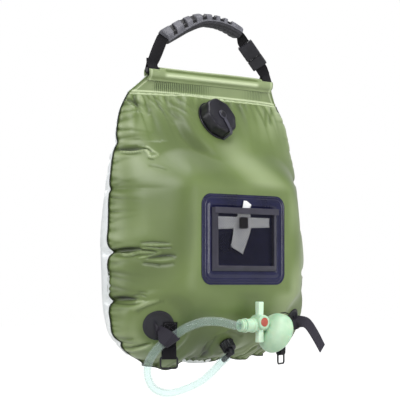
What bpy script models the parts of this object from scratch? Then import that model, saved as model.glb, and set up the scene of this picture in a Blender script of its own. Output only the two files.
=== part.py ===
"""Camp shower bag: a hanging PVC water bag with a carry handle, fill cap, pocket, outlet, hose and rose.

Metres, +Z up. The front faces -Y. The origin is on the grip's middle line, above the bag's middle,
where a hand or a hook carries the bag. Each object is one piece of the real thing.
"""

import math

import bmesh
import bpy
import numpy as np
from mathutils import Matrix, Vector

# Shared values
GAP = 0.0003
CUT_OVERRUN = 0.004
TURN_STEPS = 28
SMALL_STEPS = 18

# Hem and its rod
HEM_Z = -0.0858
HEM_HALF = 0.1305
ROD_RADIUS = 0.004
SLEEVE_HALF_DEPTH = 0.008
SLEEVE_HALF_HEIGHT = 0.0088
SLEEVE_WALL = 0.001
NOTCH_BELOW_ROD = 0.0025

# Bag panels
WELD_Z = -0.1283
BOTTOM_Z = -0.5673
FILM = 0.001
SEAM_WIDTH = 0.005
SEAM_SETBACK = 0.017
WELD_HALF = 0.152
BODY_HALF = 0.188
FRONT_BULGE_DEPTH = 0.105
BACK_BULGE_DEPTH = 0.110
BULGE_POWER_SHARE = 2.6
PANEL_COLUMNS = 24
PANEL_ROWS = 26
SEAT_MARGIN = 0.012

# Half-widths of the filled bag, as shares of BODY_HALF, against shares of the way from weld to bottom
OUTLINE_SHARES = (
    (0.0, WELD_HALF / BODY_HALF), (0.06, 0.885), (0.14, 0.925), (0.30, 0.985), (0.48, 1.01), (0.68, 1.0),
    (0.82, 0.985), (0.90, 0.94), (0.955, 0.82), (1.0, 0.65),
)
FRONT_SHARES = (
    (0.0, 0.0), (0.10, 0.33), (0.185, 0.55), (0.28, 0.76), (0.38, 0.90), (0.50, 0.975), (0.62, 1.0),
    (0.72, 0.98), (0.81, 0.89), (0.88, 0.74), (0.935, 0.52), (0.975, 0.27), (1.0, 0.0),
)
BACK_SHARES = (
    (0.0, 0.0), (0.10, 0.22), (0.20, 0.45), (0.34, 0.74), (0.48, 0.93), (0.62, 1.0),
    (0.74, 0.97), (0.85, 0.80), (0.93, 0.52), (0.975, 0.27), (1.0, 0.0),
)

# Fill port and its screw cap
PORT_X = -0.018
PORT_DROP_SHARE = 0.09681
PORT_YAW = math.radians(10)
PORT_STANDOFF = 0.003
PORT_BORE = 0.0200
NECK_WALL = 0.0025
NECK_HEIGHT = 0.0115
FLANGE_RADIUS = 0.0345
FLANGE_THICKNESS = 0.0024
GASKET_THICKNESS = 0.0015
CAP_HEIGHT = 0.0180
CAP_RADIUS = 0.0325
CAP_WALL = 0.0028
CAP_LOBES = 8
LOBE_SHARE = 0.055
CAP_CLEARANCE = 0.0006
BUTTON_RADIUS = 0.0045
BUTTON_HEAD_RADIUS = 0.0062
BUTTON_HEAD = 0.0014
TETHER_THICKNESS = 0.0016
TETHER_RING_RADIUS = 0.0080
TETHER_WIDTH = 0.0052
TETHER_ANGLE = math.radians(-81)

# Outlet under the front
OUTLET_X = -0.004
OUTLET_DROP_SHARE = 0.92027
OUTLET_BORE = 0.0045
SPIGOT_RADIUS = 0.0070
SPIGOT_FLANGE_RADIUS = 0.0140
SPIGOT_FLANGE = 0.0022
NUT_RADIUS = 0.0115
NUT_LENGTH = 0.0145
NUT_FLOOR = 0.0030
NUT_RIBS = 14
RIB_SHARE = 0.06
ELBOW_RADIUS = 0.0055
BARB_RADIUS = 0.0048
ELBOW_RISE = 0.0060
BARB_LENGTH = 0.0210
BARB_LEAN = (-0.30, 0.65, -0.70)

# Hose, from the elbow's barb to the shower head
HOSE_DIAMETER = 0.014
HOSE_SIDES_RESOLUTION = 3
HOSE_STEP = 0.0085
HOSE_ROUTE = (
    (-0.0104, -0.0454, -0.5621), (-0.0154, -0.0343, -0.5742), (-0.0212, -0.0258, -0.5842),
    (-0.0291, -0.0145, -0.5952), (-0.0401, -0.0046, -0.6034), (-0.0553, 0.0024, -0.6094),
    (-0.0758, 0.0050, -0.6138), (-0.0937, 0.0040, -0.6127), (-0.1163, -0.0010, -0.6044),
    (-0.1336, -0.0101, -0.5880), (-0.1418, -0.0196, -0.5681), (-0.1417, -0.0323, -0.5501),
    (-0.1328, -0.0456, -0.5325), (-0.1186, -0.0608, -0.5182), (-0.1068, -0.0714, -0.5076),
    (-0.0919, -0.0830, -0.4997), (-0.0771, -0.0923, -0.4964), (-0.0583, -0.1015, -0.4975),
    (-0.0450, -0.1064, -0.5008), (-0.0350, -0.1084, -0.5031), (-0.0273, -0.1088, -0.5035),
)

# Shower head
HEAD_ORIGIN = (-0.0273, -0.1088, -0.5035)
COLLAR_LENGTH = 0.009
COLLAR_RADIUS = 0.0100
VALVE_LENGTH = 0.023
VALVE_RADIUS = 0.0115
VALVE_BORE = 0.0036
VALVE_LIFT = 0.005
HOUSING_RADIUS = 0.0115
HOUSING_HALF_DEPTH = 0.0125
NECK_RADIUS = 0.0090
NECK_END = 0.0535
GATE_ALONG = 0.012
GATE_DEPTH = 0.010
GATE_HALF_LENGTH = 0.0325
GATE_TRAVEL = 0.007
GATE_CLEARANCE = 0.0004
GATE_AT = 0.0418
SEAL_RADIUS = 0.0058
SEAL_THICKNESS = 0.0014
PLUG_RADIUS = 0.0076
PLUG_DEPTH = 0.0030
PLUG_PROUD = 0.0012
ROSE_TILT = math.radians(15)
ROSE_RADIUS = 0.0320
ROSE_DEPTH = 0.0330
ROSE_WALL = 0.0020
RIM_LENGTH = 0.0050
FACE_THICKNESS = 0.0022
JET_RADIUS = 0.0011
JET_RINGS = ((0.0, 1), (0.34, 6), (0.66, 12))

# Pocket on the front
POCKET_Z = -0.3664
PATCH_HALF_WIDTH = 0.0862
PATCH_HALF_HEIGHT = 0.0725
PATCH_CORNER = 0.0185
PATCH_THICKNESS = 0.0007
POCKET_MARGIN = 0.006
POCKET_BLEND = 0.045
FRAME_HALF_WIDTH = 0.0664
FRAME_HALF_HEIGHT = 0.0505
TAPE_WIDTH = 0.0085
TAPE_THICKNESS = 0.0012
POCKET_DEPTH = 0.0090
NET_COLUMNS = 12
NET_ROWS = 9
NET_STRAND = 0.0016
NET_THICKNESS = 0.0006
CLOSURE_SIZE = 0.0165
CLOSURE_X = -0.0090
CLOSURE_DROP = 0.0070
STRIP_HEIGHT = 0.0210
STRIP_HALF_WIDTH = 0.0520
TAG_WIDTH = 0.0230
TAG_HEIGHT = 0.0840
TAG_X = -0.0050
TAG_SHOWING = 0.0115
TAG_THICKNESS = 0.0005

# Round patches with their straps, tabs and rings
SIDE_X = 0.137
SIDE_DROP_SHARE = 0.85194
SIDE_SINK = 0.004
ROUND_RADIUS = 0.0250
ROUND_THICKNESS = 0.0010
STRAP_WIDTH = 0.0250
STRAP_THICKNESS = 0.0016
STRAP_SLACK = 0.0016
STITCH_LENGTH = 0.0160
TAB_WIDTH = 0.0230
TAB_THICKNESS = 0.0014
RING_BAR = 0.0030
RING_HALF_WIDTH = 0.0150
RING_HEIGHT = 0.0210
RING_CLEARANCE = 0.0006
TAB_DROP = 0.0500
TAB_INSET = 0.0185
TAB_ABOVE = 0.0060
TAB_BELOW = 0.0320
TAB_STANDOFF = 0.0030
STRAP_REACH = (0.0155, 0.0, -0.0250)
FREE_STRAP_STEPS = (
    (0.0, 0.0, 0.0), (0.0090, 0.0045, 0.0005), (0.0180, 0.0025, 0.0015), (0.0290, -0.0050, -0.0040),
    (0.0410, -0.0095, -0.0210), (0.0600, -0.0100, -0.0450),
)
FREE_STRAP_LEANS = (
    (0.0, -0.42, 1.0), (0.0, -0.42, 1.0), (0.1, -0.30, 1.0), (0.4, -0.1, 0.9), (0.7, -0.4, 0.5), (0.6, -0.6, 0.4),
)

# Handle
WEBBING_WIDTH = 0.0200
WEBBING_THICKNESS = 0.0018
WEBBING_CLEARANCE = 0.0004
LOOP_TAIL = 0.0190
WEB_RISE_SHARES = (0.2, 0.4, 0.6, 0.8)
WEB_FALL_SHARES = (0.35, 0.7)
LEFT_WEB_INSET = 0.0100
RIGHT_WEB_INSET = 0.0110
LEFT_WEB_X = LEFT_WEB_INSET - HEM_HALF
RIGHT_WEB_X = HEM_HALF - RIGHT_WEB_INSET
GRIP_WIDTH = 0.0260
GRIP_HALF_THICKNESS = 0.0065
GRIP_SHELL = 0.0022
GRIP_SPINE = ((-0.0965, -0.0378), (-0.0760, -0.0258), (-0.0520, -0.0125), (-0.0260, -0.0020), (0.0, 0.0008),
              (0.0240, -0.0014), (0.0440, -0.0068), (0.0605, -0.0138))
GRIP_ROLL_START = math.radians(44)
GRIP_ROLL_END = math.radians(14)
GRIP_SLOTS = 8
SLOT_LENGTH = 0.0042
SLOT_DEPTH = 0.0012
SLOT_HALF_WIDTH = 0.0095
PAD_RIBS = 5
PAD_HEIGHT = 0.0016
PAD_RIB_SHARES = (0.60, 0.92)
BUCKLE_WIDTH = 0.0270
BUCKLE_DEPTH = 0.0085
BUCKLE_WALL = 0.0015
BUCKLE_ROLL = math.radians(40)
SOCKET_LENGTH = 0.0295
PLUG_BODY_LENGTH = 0.0195
TONGUE_WIDTH = 0.0060
WINDOW_LENGTH = 0.0100
PLUG_GAP = 0.0010
PRONG_LENGTH = 0.0200
PRONG_WIDTH = 0.0038
BUCKLE_TOP = (0.0735, -0.0290)
BUCKLE_FOOT = (0.1115, -0.0680)

# Colour, roughness and metallic value of each finish
FINISHES = {
    "green_film": ((0.23, 0.30, 0.10), 0.38, 0.0),
    "silver_film": ((0.66, 0.68, 0.66), 0.34, 0.0),
    "black_plastic": ((0.012, 0.012, 0.014), 0.32, 0.0),
    "black_webbing": ((0.018, 0.018, 0.022), 0.75, 0.0),
    "navy_vinyl": ((0.020, 0.022, 0.040), 0.22, 0.0),
    "black_net": ((0.020, 0.021, 0.026), 0.60, 0.0),
    "grey_rubber": ((0.16, 0.16, 0.17), 0.55, 0.0),
    "dark_rubber": ((0.022, 0.022, 0.026), 0.65, 0.0),
    "seal_rubber": ((0.03, 0.03, 0.03), 0.70, 0.0),
    "clear_hose": ((0.80, 0.84, 0.84), 0.12, 0.0),
    "mint_plastic": ((0.50, 0.78, 0.60), 0.30, 0.0),
    "red_plastic": ((0.60, 0.05, 0.05), 0.35, 0.0),
    "pale_cloth": ((0.72, 0.73, 0.72), 0.70, 0.0),
    "rod_plastic": ((0.10, 0.10, 0.10), 0.50, 0.0),
}


def clear_scene():
    for obj in list(bpy.data.objects):
        bpy.data.objects.remove(obj)


def new_collection(name):
    collection = bpy.data.collections.new(name)
    bpy.context.scene.collection.children.link(collection)
    return collection


def own_material(name, finish):
    colour, roughness, metallic = FINISHES[finish]
    material = bpy.data.materials.new(f"{name}_{finish}")
    material.use_nodes = True
    shader = material.node_tree.nodes["Principled BSDF"]
    shader.inputs["Base Color"].default_value = (*colour, 1.0)
    shader.inputs["Roughness"].default_value = roughness
    shader.inputs["Metallic"].default_value = metallic
    return material


def place(name, data, finish, parent=None, matrix=None):
    """Links a new object to the parts collection, in its parent's frame."""
    obj = bpy.data.objects.new(name, data)
    parts.objects.link(obj)
    obj.parent = parent
    if matrix is not None:
        obj.matrix_local = matrix
    data.materials.append(own_material(name, finish))
    return obj


def frame_at(name, origin, normal, up=(0, 0, 1)):
    """An empty whose local Z is the normal and whose local Y leans towards up."""
    z = Vector(normal).normalized()
    y = (Vector(up) - z * z.dot(Vector(up))).normalized()
    axes = Matrix((y.cross(z), y, z)).transposed()
    empty = bpy.data.objects.new(name, None)
    parts.objects.link(empty)
    empty.matrix_world = Matrix.Translation(origin) @ axes.to_4x4()
    return empty


def smooth(obj, angle=35):
    obj.data.shade_smooth()
    obj.data.set_sharp_from_angle(angle=math.radians(angle))
    return obj


def bake(obj):
    """Replaces an object's curve or modifiers by the mesh that they make."""
    bpy.context.view_layer.update()
    evaluated = obj.evaluated_get(bpy.context.evaluated_depsgraph_get())
    mesh = bpy.data.meshes.new_from_object(evaluated)
    work = bmesh.new()
    work.from_mesh(mesh)
    bmesh.ops.remove_doubles(work, verts=work.verts, dist=1e-6)
    work.to_mesh(mesh)
    work.free()
    made = bpy.data.objects.new(obj.name, mesh)
    parts.objects.link(made)
    made.parent = obj.parent
    made.matrix_local = obj.matrix_local.copy()
    name = obj.name
    bpy.data.objects.remove(obj)
    made.name = name
    return made


def boolean(target, cutter, operation="DIFFERENCE"):
    modifier = target.modifiers.new(operation.title(), "BOOLEAN")
    modifier.operation = operation
    modifier.solver = "EXACT"
    modifier.object = cutter
    return target


def as_cutter(obj):
    """Moves a shape from the parts to the cutters."""
    parts.objects.unlink(obj)
    cutters.objects.link(obj)
    obj.hide_render = True
    obj.display_type = "WIRE"
    return obj


def block(name, size, centre, finish, parent=None, bevel=0.0, turn=None):
    """A box with optionally rounded edges."""
    work = bmesh.new()
    bmesh.ops.create_cube(work, size=1.0)
    bmesh.ops.scale(work, vec=size, verts=work.verts)
    mesh = bpy.data.meshes.new(name)
    work.to_mesh(mesh)
    work.free()
    matrix = Matrix.Translation(centre) @ (turn or Matrix.Identity(4))
    obj = place(name, mesh, finish, parent, matrix)
    if bevel:
        rounded = obj.modifiers.new("Rounded edges", "BEVEL")
        rounded.width = bevel
        rounded.segments = 2
    return obj


def turned(name, profile, finish, parent=None, matrix=None, ring=False, steps=TURN_STEPS):
    """A profile of (radius, height) turned about local Z, down its outer side; a ring's profile is closed."""
    mesh = bpy.data.meshes.new(name)
    count = len(profile)
    edges = [(i, i + 1) for i in range(count - 1)]
    if ring:
        edges.append((count - 1, 0))
    mesh.from_pydata([(radius, 0.0, height) for radius, height in profile], edges, [])
    obj = place(name, mesh, finish, parent, matrix)
    screw = obj.modifiers.new("Turned", "SCREW")
    screw.steps = screw.render_steps = steps
    screw.use_merge_vertices = True
    screw.merge_threshold = 0.00001
    screw.use_smooth_shade = True
    return obj


def tube_ring(inner, outer, low, high):
    return [(inner, high), (outer, high), (outer, low), (inner, low)]


def outline_curve(name, outlines, thickness, finish, parent=None, matrix=None):
    """Flat closed outlines in local XY, filled and extruded by the thickness, centred on local Z = 0."""
    curve = bpy.data.curves.new(name, "CURVE")
    curve.dimensions = "2D"
    curve.fill_mode = "BOTH"
    curve.extrude = thickness / 2
    for outline in outlines:
        spline = curve.splines.new("POLY")
        spline.points.add(len(outline) - 1)
        for point, (x, y) in zip(spline.points, outline):
            point.co = (x, y, 0.0, 1.0)
        spline.use_cyclic_u = True
    return bake(place(name, curve, finish, parent, matrix))


def strip(name, path, width, thickness, finish, parent=None, matrix=None):
    """A band of webbing: a path in local XY, its width along local Z and its thickness from Solidify."""
    curve = bpy.data.curves.new(name, "CURVE")
    curve.dimensions = "2D"
    curve.fill_mode = "NONE"
    curve.extrude = width / 2
    spline = curve.splines.new("POLY")
    spline.points.add(len(path) - 1)
    for point, (x, y) in zip(spline.points, path):
        point.co = (x, y, 0.0, 1.0)
    obj = bake(place(name, curve, finish, parent, matrix))
    solid = obj.modifiers.new("Thickness", "SOLIDIFY")
    solid.thickness = thickness
    solid.offset = 0.0
    solid.use_even_offset = True
    return obj


def rounded_rectangle(half_width, half_height, corner, steps=5):
    points = []
    for quarter, (sx, sy) in enumerate(((1, 1), (-1, 1), (-1, -1), (1, -1))):
        for step in range(steps + 1):
            angle = math.pi / 2 * (quarter + step / steps)
            points.append((
                sx * (half_width - corner) + corner * math.cos(angle),
                sy * (half_height - corner) + corner * math.sin(angle),
            ))
    return points


def arc(centre, radius, start, end, steps):
    """Points on an arc from one angle to another, in degrees."""
    angles = np.radians(np.linspace(start, end, steps))
    return [(centre[0] + radius * math.cos(a), centre[1] + radius * math.sin(a)) for a in angles]


def smooth_route(points, step):
    """Points at even steps along the cubic curve through the route's points."""
    route = np.array(points)
    padded = np.vstack([2 * route[0] - route[1], route, 2 * route[-1] - route[-2]])
    fine = []
    share = np.linspace(0.0, 1.0, 24, endpoint=False)[:, None]
    for a, b, c, d in zip(padded[:-3], padded[1:-2], padded[2:-1], padded[3:]):
        cubic = 2 * a - 5 * b + 4 * c - d + share * (3 * (b - c) + d - a)
        fine.append(b + 0.5 * share * (c - a + share * cubic))
    fine = np.vstack([*fine, route[-1:]])
    along = np.concatenate([[0.0], np.cumsum(np.linalg.norm(np.diff(fine, axis=0), axis=1))])
    even = np.linspace(0.0, along[-1], round(along[-1] / step) + 1)
    return np.column_stack([np.interp(even, along, fine[:, axis]) for axis in range(3)])


def shares_at(table, share):
    """A smooth curve through a table of shares: cubic between its points, flat at neither end."""
    table = np.array(table)
    slopes = np.gradient(table[:, 1], table[:, 0])
    i = np.clip(np.searchsorted(table[:, 0], share, side="right") - 1, 0, len(table) - 2)
    span = table[i + 1, 0] - table[i, 0]
    t = np.clip((share - table[i, 0]) / span, 0.0, 1.0)
    return (
        (2 * t**3 - 3 * t**2 + 1) * table[i, 1]
        + (t**3 - 2 * t**2 + t) * span * slopes[i]
        + (3 * t**2 - 2 * t**3) * table[i + 1, 1]
        + (t**3 - t**2) * span * slopes[i + 1]
    )


def soft_step(value):
    t = np.clip(value, 0.0, 1.0)
    return t * t * (3 - 2 * t)


def half_width(share):
    return BODY_HALF * shares_at(OUTLINE_SHARES, share)


def seam_y(across, share):
    """Where the two films meet: flat at the weld, set back lower down and at the shoulders."""
    settled = soft_step(share / 0.25)
    return SEAM_SETBACK * (settled + (1 - settled) * np.abs(across) ** 4)


def pillow_y(x, z, side):
    """The filled film's inner face: side -1 is the front and +1 the back."""
    share = np.clip((WELD_Z - z) / (WELD_Z - BOTTOM_Z), 0.0, 1.0)
    across = np.clip(x / half_width(share), -1.0, 1.0)
    if side < 0:
        bulge = FRONT_BULGE_DEPTH * shares_at(FRONT_SHARES, share)
    else:
        bulge = BACK_BULGE_DEPTH * shares_at(BACK_SHARES, share)
    crown = np.sqrt(np.clip(1 - np.abs(across) ** BULGE_POWER_SHARE, 0.0, 1.0))
    return seam_y(across, share) + side * (GAP / 2 + np.maximum(bulge, 0.0) * crown)


def front_normal(x, z):
    """The outward normal of the front film before anything is seated on it."""
    step = FILM
    slope_x = (pillow_y(x + step, z, -1) - pillow_y(x - step, z, -1)) / (2 * step)
    slope_z = (pillow_y(x, z + step, -1) - pillow_y(x, z - step, -1)) / (2 * step)
    return Vector((float(slope_x), -1.0, float(slope_z))).normalized()


class Seat:
    """A round flat place on the front film, under a fitting or a patch."""

    def __init__(self, x, z, radius, blend, standoff=0.0, yaw=0.0):
        self.normal = Matrix.Rotation(yaw, 3, "Z") @ front_normal(x, z)
        self.inner = Vector((x, float(pillow_y(x, z, -1)) - standoff, z))
        self.outer = self.inner + self.normal * (FILM + GAP)
        self.radius = radius + SEAT_MARGIN
        self.blend = blend

    def plane_y(self, x, z):
        n = self.normal
        return self.inner.y - (n.x * (x - self.inner.x) + n.z * (z - self.inner.z)) / n.y

    def settle(self, x, y, z):
        plane = self.plane_y(x, z)
        reach = np.sqrt((x - self.inner.x) ** 2 + (plane - self.inner.y) ** 2 + (z - self.inner.z) ** 2)
        weight = soft_step((self.radius + self.blend - reach) / self.blend)
        return y + (plane - y) * weight


def settle_pocket(x, y, z):
    """Flattens the front film behind the pocket's stiff patch."""
    beyond_x = np.maximum(np.abs(x) - PATCH_HALF_WIDTH - POCKET_MARGIN, 0.0)
    beyond_z = np.maximum(np.abs(z - POCKET_Z) - PATCH_HALF_HEIGHT - POCKET_MARGIN, 0.0)
    weight = soft_step(1 - np.hypot(beyond_x, beyond_z) / POCKET_BLEND)
    return y + (pocket_plane_y() - y) * weight


def pocket_plane_y():
    return float(pillow_y(PATCH_HALF_WIDTH / 2, POCKET_Z, -1))


def panel(name, side, seats, finish):
    """One film of the bag: hem web, pillow and the flat seam round it."""
    half_turns = np.linspace(-1.0, 1.0, PANEL_COLUMNS + 1)
    across = np.concatenate([[-1.0], np.sin(half_turns * math.pi / 2), [1.0]])
    overhang = np.concatenate([[-SEAM_WIDTH], np.zeros(PANEL_COLUMNS + 1), [SEAM_WIDTH]])
    down = np.sin(np.linspace(0.0, 1.0, PANEL_ROWS + 1) * math.pi / 2 * 0.999) ** 1.12
    share = np.concatenate([[0.0, 0.0], down / down[-1], [1.0]])
    z = WELD_Z + share * (BOTTOM_Z - WELD_Z)
    z[0] = HEM_Z - 2 * SLEEVE_HALF_HEIGHT - 2 * GAP
    z[-1] = BOTTOM_Z - SEAM_WIDTH
    width = half_width(share)
    width[0] = HEM_HALF - SEAM_WIDTH
    x = across[None, :] * width[:, None] + overhang[None, :]
    z = np.repeat(z[:, None], len(across), axis=1)
    y = pillow_y(across[None, :] * width[:, None], z, side)
    for seat in seats:
        y = seat.settle(x, y, z)
    if side < 0:
        y = settle_pocket(x, y, z)
    flat = seam_y(across[None, :], share[:, None]) + side * GAP / 2
    flat[0] = side * GAP / 2
    edge = np.zeros(x.shape, bool)
    edge[:, :2] = edge[:, -2:] = edge[:2] = edge[-2:] = True
    y = np.where(edge, flat, y)

    work = bmesh.new()
    bmesh.ops.create_grid(work, x_segments=x.shape[1] - 1, y_segments=x.shape[0] - 1, size=1.0)
    columns, rows = x.shape[1] - 1, x.shape[0] - 1
    for vert in work.verts:
        column = round((vert.co.x + 1) / 2 * columns)
        row = round((1 - vert.co.y) / 2 * rows)
        vert.co = (x[row, column], y[row, column], z[row, column])
    if side > 0:
        bmesh.ops.reverse_faces(work, faces=work.faces)
    mesh = bpy.data.meshes.new(name)
    work.to_mesh(mesh)
    work.free()
    obj = place(name, mesh, finish)
    facing = sum(polygon.normal.y * polygon.area for polygon in mesh.polygons)
    solid = obj.modifiers.new("Film", "SOLIDIFY")
    solid.thickness = FILM
    solid.offset = 1.0 if facing * side > 0 else -1.0
    return smooth(obj, 60)


def band(name, centres, widths, thickness, finish):
    """A band of webbing through centres, each with its own width vector, given its thickness by Solidify."""
    rows = len(centres) - 1
    work = bmesh.new()
    bmesh.ops.create_grid(work, x_segments=1, y_segments=rows, size=1.0)
    for vert in work.verts:
        row = round((1 - vert.co.y) / 2 * rows)
        vert.co = Vector(centres[row]) + Vector(widths[row]) * (vert.co.x / 2)
    mesh = bpy.data.meshes.new(name)
    work.to_mesh(mesh)
    work.free()
    obj = place(name, mesh, finish)
    solid = obj.modifiers.new("Thickness", "SOLIDIFY")
    solid.thickness = thickness
    solid.offset = 0.0
    solid.use_even_offset = True
    return obj


def rolled_axes(spine):
    """Unit vectors across the grip and out of its top, at each point of the spine."""
    ahead = np.gradient(spine, axis=0)
    ahead /= np.linalg.norm(ahead, axis=1)[:, None]
    out = np.column_stack([-ahead[:, 1], np.zeros(len(ahead)), ahead[:, 0]])
    roll = np.linspace(GRIP_ROLL_START, GRIP_ROLL_END, len(ahead))[:, None]
    back = np.array((0.0, 1.0, 0.0))
    return back * np.cos(roll) + out * np.sin(roll), out * np.cos(roll) - back * np.sin(roll)


def swept(name, spine, section, finish):
    """A flat section of (sideways, up) points carried along the grip's spine and rolled with it."""
    centres = np.column_stack([spine[:, 0], np.zeros(len(spine)), spine[:, 1]])
    work = bmesh.new()
    rings = []
    for centre, across, out in zip(centres, *rolled_axes(spine)):
        rings.append([work.verts.new(centre + across * side + out * up) for side, up in section])
    for near, far in zip(rings[:-1], rings[1:]):
        for index in range(len(section)):
            work.faces.new((near[index - 1], near[index], far[index], far[index - 1]))
    work.faces.new(rings[0])
    work.faces.new(rings[-1][::-1])
    bmesh.ops.recalc_face_normals(work, faces=work.faces)
    mesh = bpy.data.meshes.new(name)
    work.to_mesh(mesh)
    work.free()
    return place(name, mesh, finish)


def unit(vector):
    return np.array(vector) / np.linalg.norm(vector)


def sleeve_centre_z():
    return HEM_Z - SLEEVE_HALF_HEIGHT


def rod_z():
    return sleeve_centre_z() + SLEEVE_HALF_HEIGHT - SLEEVE_WALL - ROD_RADIUS - GAP


def ellipse(half_width, half_height, steps):
    angles = np.linspace(0.0, 2 * math.pi, steps, endpoint=False)
    return [(half_width * math.cos(a), half_height * math.sin(a)) for a in angles]


def make_hem():
    """The rod pocket along the top, notched where the handle's loops go round the rod."""
    along_x = frame_at("hem_axis", (0.0, 0.0, sleeve_centre_z()), (1, 0, 0))
    outer = ellipse(SLEEVE_HALF_DEPTH, SLEEVE_HALF_HEIGHT, 20)
    inner = ellipse(SLEEVE_HALF_DEPTH - SLEEVE_WALL, SLEEVE_HALF_HEIGHT - SLEEVE_WALL, 20)
    sleeve = outline_curve("hem_sleeve", (outer, inner), 2 * HEM_HALF, "green_film", along_x)
    notch_width = WEBBING_WIDTH + 2 * WEBBING_THICKNESS
    for label, x in (("left", LEFT_WEB_X), ("right", RIGHT_WEB_X)):
        outside = math.copysign(HEM_HALF + CUT_OVERRUN, x)
        inside = x - math.copysign(notch_width / 2, x)
        top = HEM_Z + CUT_OVERRUN
        low = rod_z() - NOTCH_BELOW_ROD
        notch = block(
            f"notch_{label}", (abs(outside - inside), 4 * SLEEVE_HALF_DEPTH, top - low),
            ((outside + inside) / 2, 0.0, (top + low) / 2), "green_film",
        )
        boolean(sleeve, as_cutter(notch))
    turned(
        "hem_rod", [(0.0, HEM_HALF), (ROD_RADIUS, HEM_HALF), (ROD_RADIUS, -HEM_HALF), (0.0, -HEM_HALF)],
        "rod_plastic", along_x, Matrix.Translation((0.0, rod_z() - sleeve_centre_z(), 0.0)), steps=16,
    )


def make_panels(seats):
    front = panel("front_panel", -1, seats.values(), "green_film")
    panel("back_panel", 1, (), "silver_film")
    reach = 6 * FILM + CUT_OVERRUN
    for label, radius in (("port", PORT_BORE), ("outlet", SPIGOT_RADIUS + GAP)):
        seat = seats[label]
        frame = frame_at(f"{label}_hole_axis", seat.inner, seat.normal)
        hole = turned(
            f"{label}_hole", [(0.0, reach), (radius, reach), (radius, -reach), (0.0, -reach)],
            "green_film", frame,
        )
        boolean(front, as_cutter(hole))


def make_fill_port(seat):
    axis = frame_at("fill_port_axis", seat.outer, seat.normal)
    neck_top = FLANGE_THICKNESS + NECK_HEIGHT
    neck_outer = PORT_BORE + NECK_WALL
    turned("fill_flange", [
        (PORT_BORE, neck_top), (neck_outer, neck_top), (neck_outer, FLANGE_THICKNESS),
        (FLANGE_RADIUS, FLANGE_THICKNESS), (FLANGE_RADIUS, 0.0), (PORT_BORE, 0.0),
    ], "black_plastic", axis, ring=True, steps=36)
    gasket_low = neck_top + GAP
    ceiling = gasket_low + GASKET_THICKNESS + GAP
    turned(
        "fill_gasket", tube_ring(PORT_BORE, neck_outer, gasket_low, gasket_low + GASKET_THICKNESS),
        "seal_rubber", axis, ring=True,
    )

    low = FLANGE_THICKNESS + CAP_CLEARANCE
    top = low + CAP_HEIGHT
    skirt = neck_outer + CAP_CLEARANCE
    hole = BUTTON_RADIUS + GAP
    edge = CAP_WALL / 2
    cap = bake(turned("fill_cap", [
        (hole, top), (CAP_RADIUS - edge, top), (CAP_RADIUS, top - edge), (CAP_RADIUS, low),
        (CAP_RADIUS - CAP_WALL, low), (CAP_RADIUS - CAP_WALL, ceiling), (skirt + CAP_WALL, ceiling),
        (skirt + CAP_WALL, low), (skirt, low), (skirt, ceiling), (hole, ceiling),
    ], "black_plastic", axis, ring=True, steps=6 * CAP_LOBES))
    for vertex in cap.data.vertices:
        radius = math.hypot(vertex.co.x, vertex.co.y)
        if radius > skirt + 1.5 * CAP_WALL:
            lobe = 0.5 - 0.5 * math.cos(CAP_LOBES * math.atan2(vertex.co.y, vertex.co.x))
            vertex.co.xy *= 1 - LOBE_SHARE * lobe
    smooth(cap)

    ring_low = top + GAP
    ring_top = ring_low + TETHER_THICKNESS
    head_low = ring_top + GAP
    turned("cap_button", [
        (0.0, head_low + BUTTON_HEAD), (BUTTON_HEAD_RADIUS, head_low + BUTTON_HEAD),
        (BUTTON_HEAD_RADIUS, head_low),
        (BUTTON_RADIUS, head_low), (BUTTON_RADIUS, ceiling - GAP), (BUTTON_HEAD_RADIUS, ceiling - GAP),
        (BUTTON_HEAD_RADIUS, ceiling - GAP - BUTTON_HEAD), (0.0, ceiling - GAP - BUTTON_HEAD),
    ], "black_plastic", axis, steps=SMALL_STEPS)
    turned(
        "cap_tether_ring", tube_ring(BUTTON_RADIUS + GAP, TETHER_RING_RADIUS, ring_low, ring_top),
        "black_plastic", axis, ring=True, steps=SMALL_STEPS,
    )
    level = ring_low + TETHER_THICKNESS / 2
    drop_radius = FLANGE_RADIUS + GAP + TETHER_THICKNESS / 2
    bend = 3 * TETHER_THICKNESS
    path = [(TETHER_RING_RADIUS + GAP, level)]
    path += arc((drop_radius - bend, level - bend), bend, 90, 0, 5)
    path.append((drop_radius, TETHER_THICKNESS / 2))
    upright = Matrix.Rotation(TETHER_ANGLE, 4, "Z") @ Matrix.Rotation(math.pi / 2, 4, "X")
    strip("cap_tether_strap", path, TETHER_WIDTH, TETHER_THICKNESS, "black_plastic", axis, upright)
    report("cap axis", axis.matrix_world.translation, axis.matrix_world.col[2])


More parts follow.
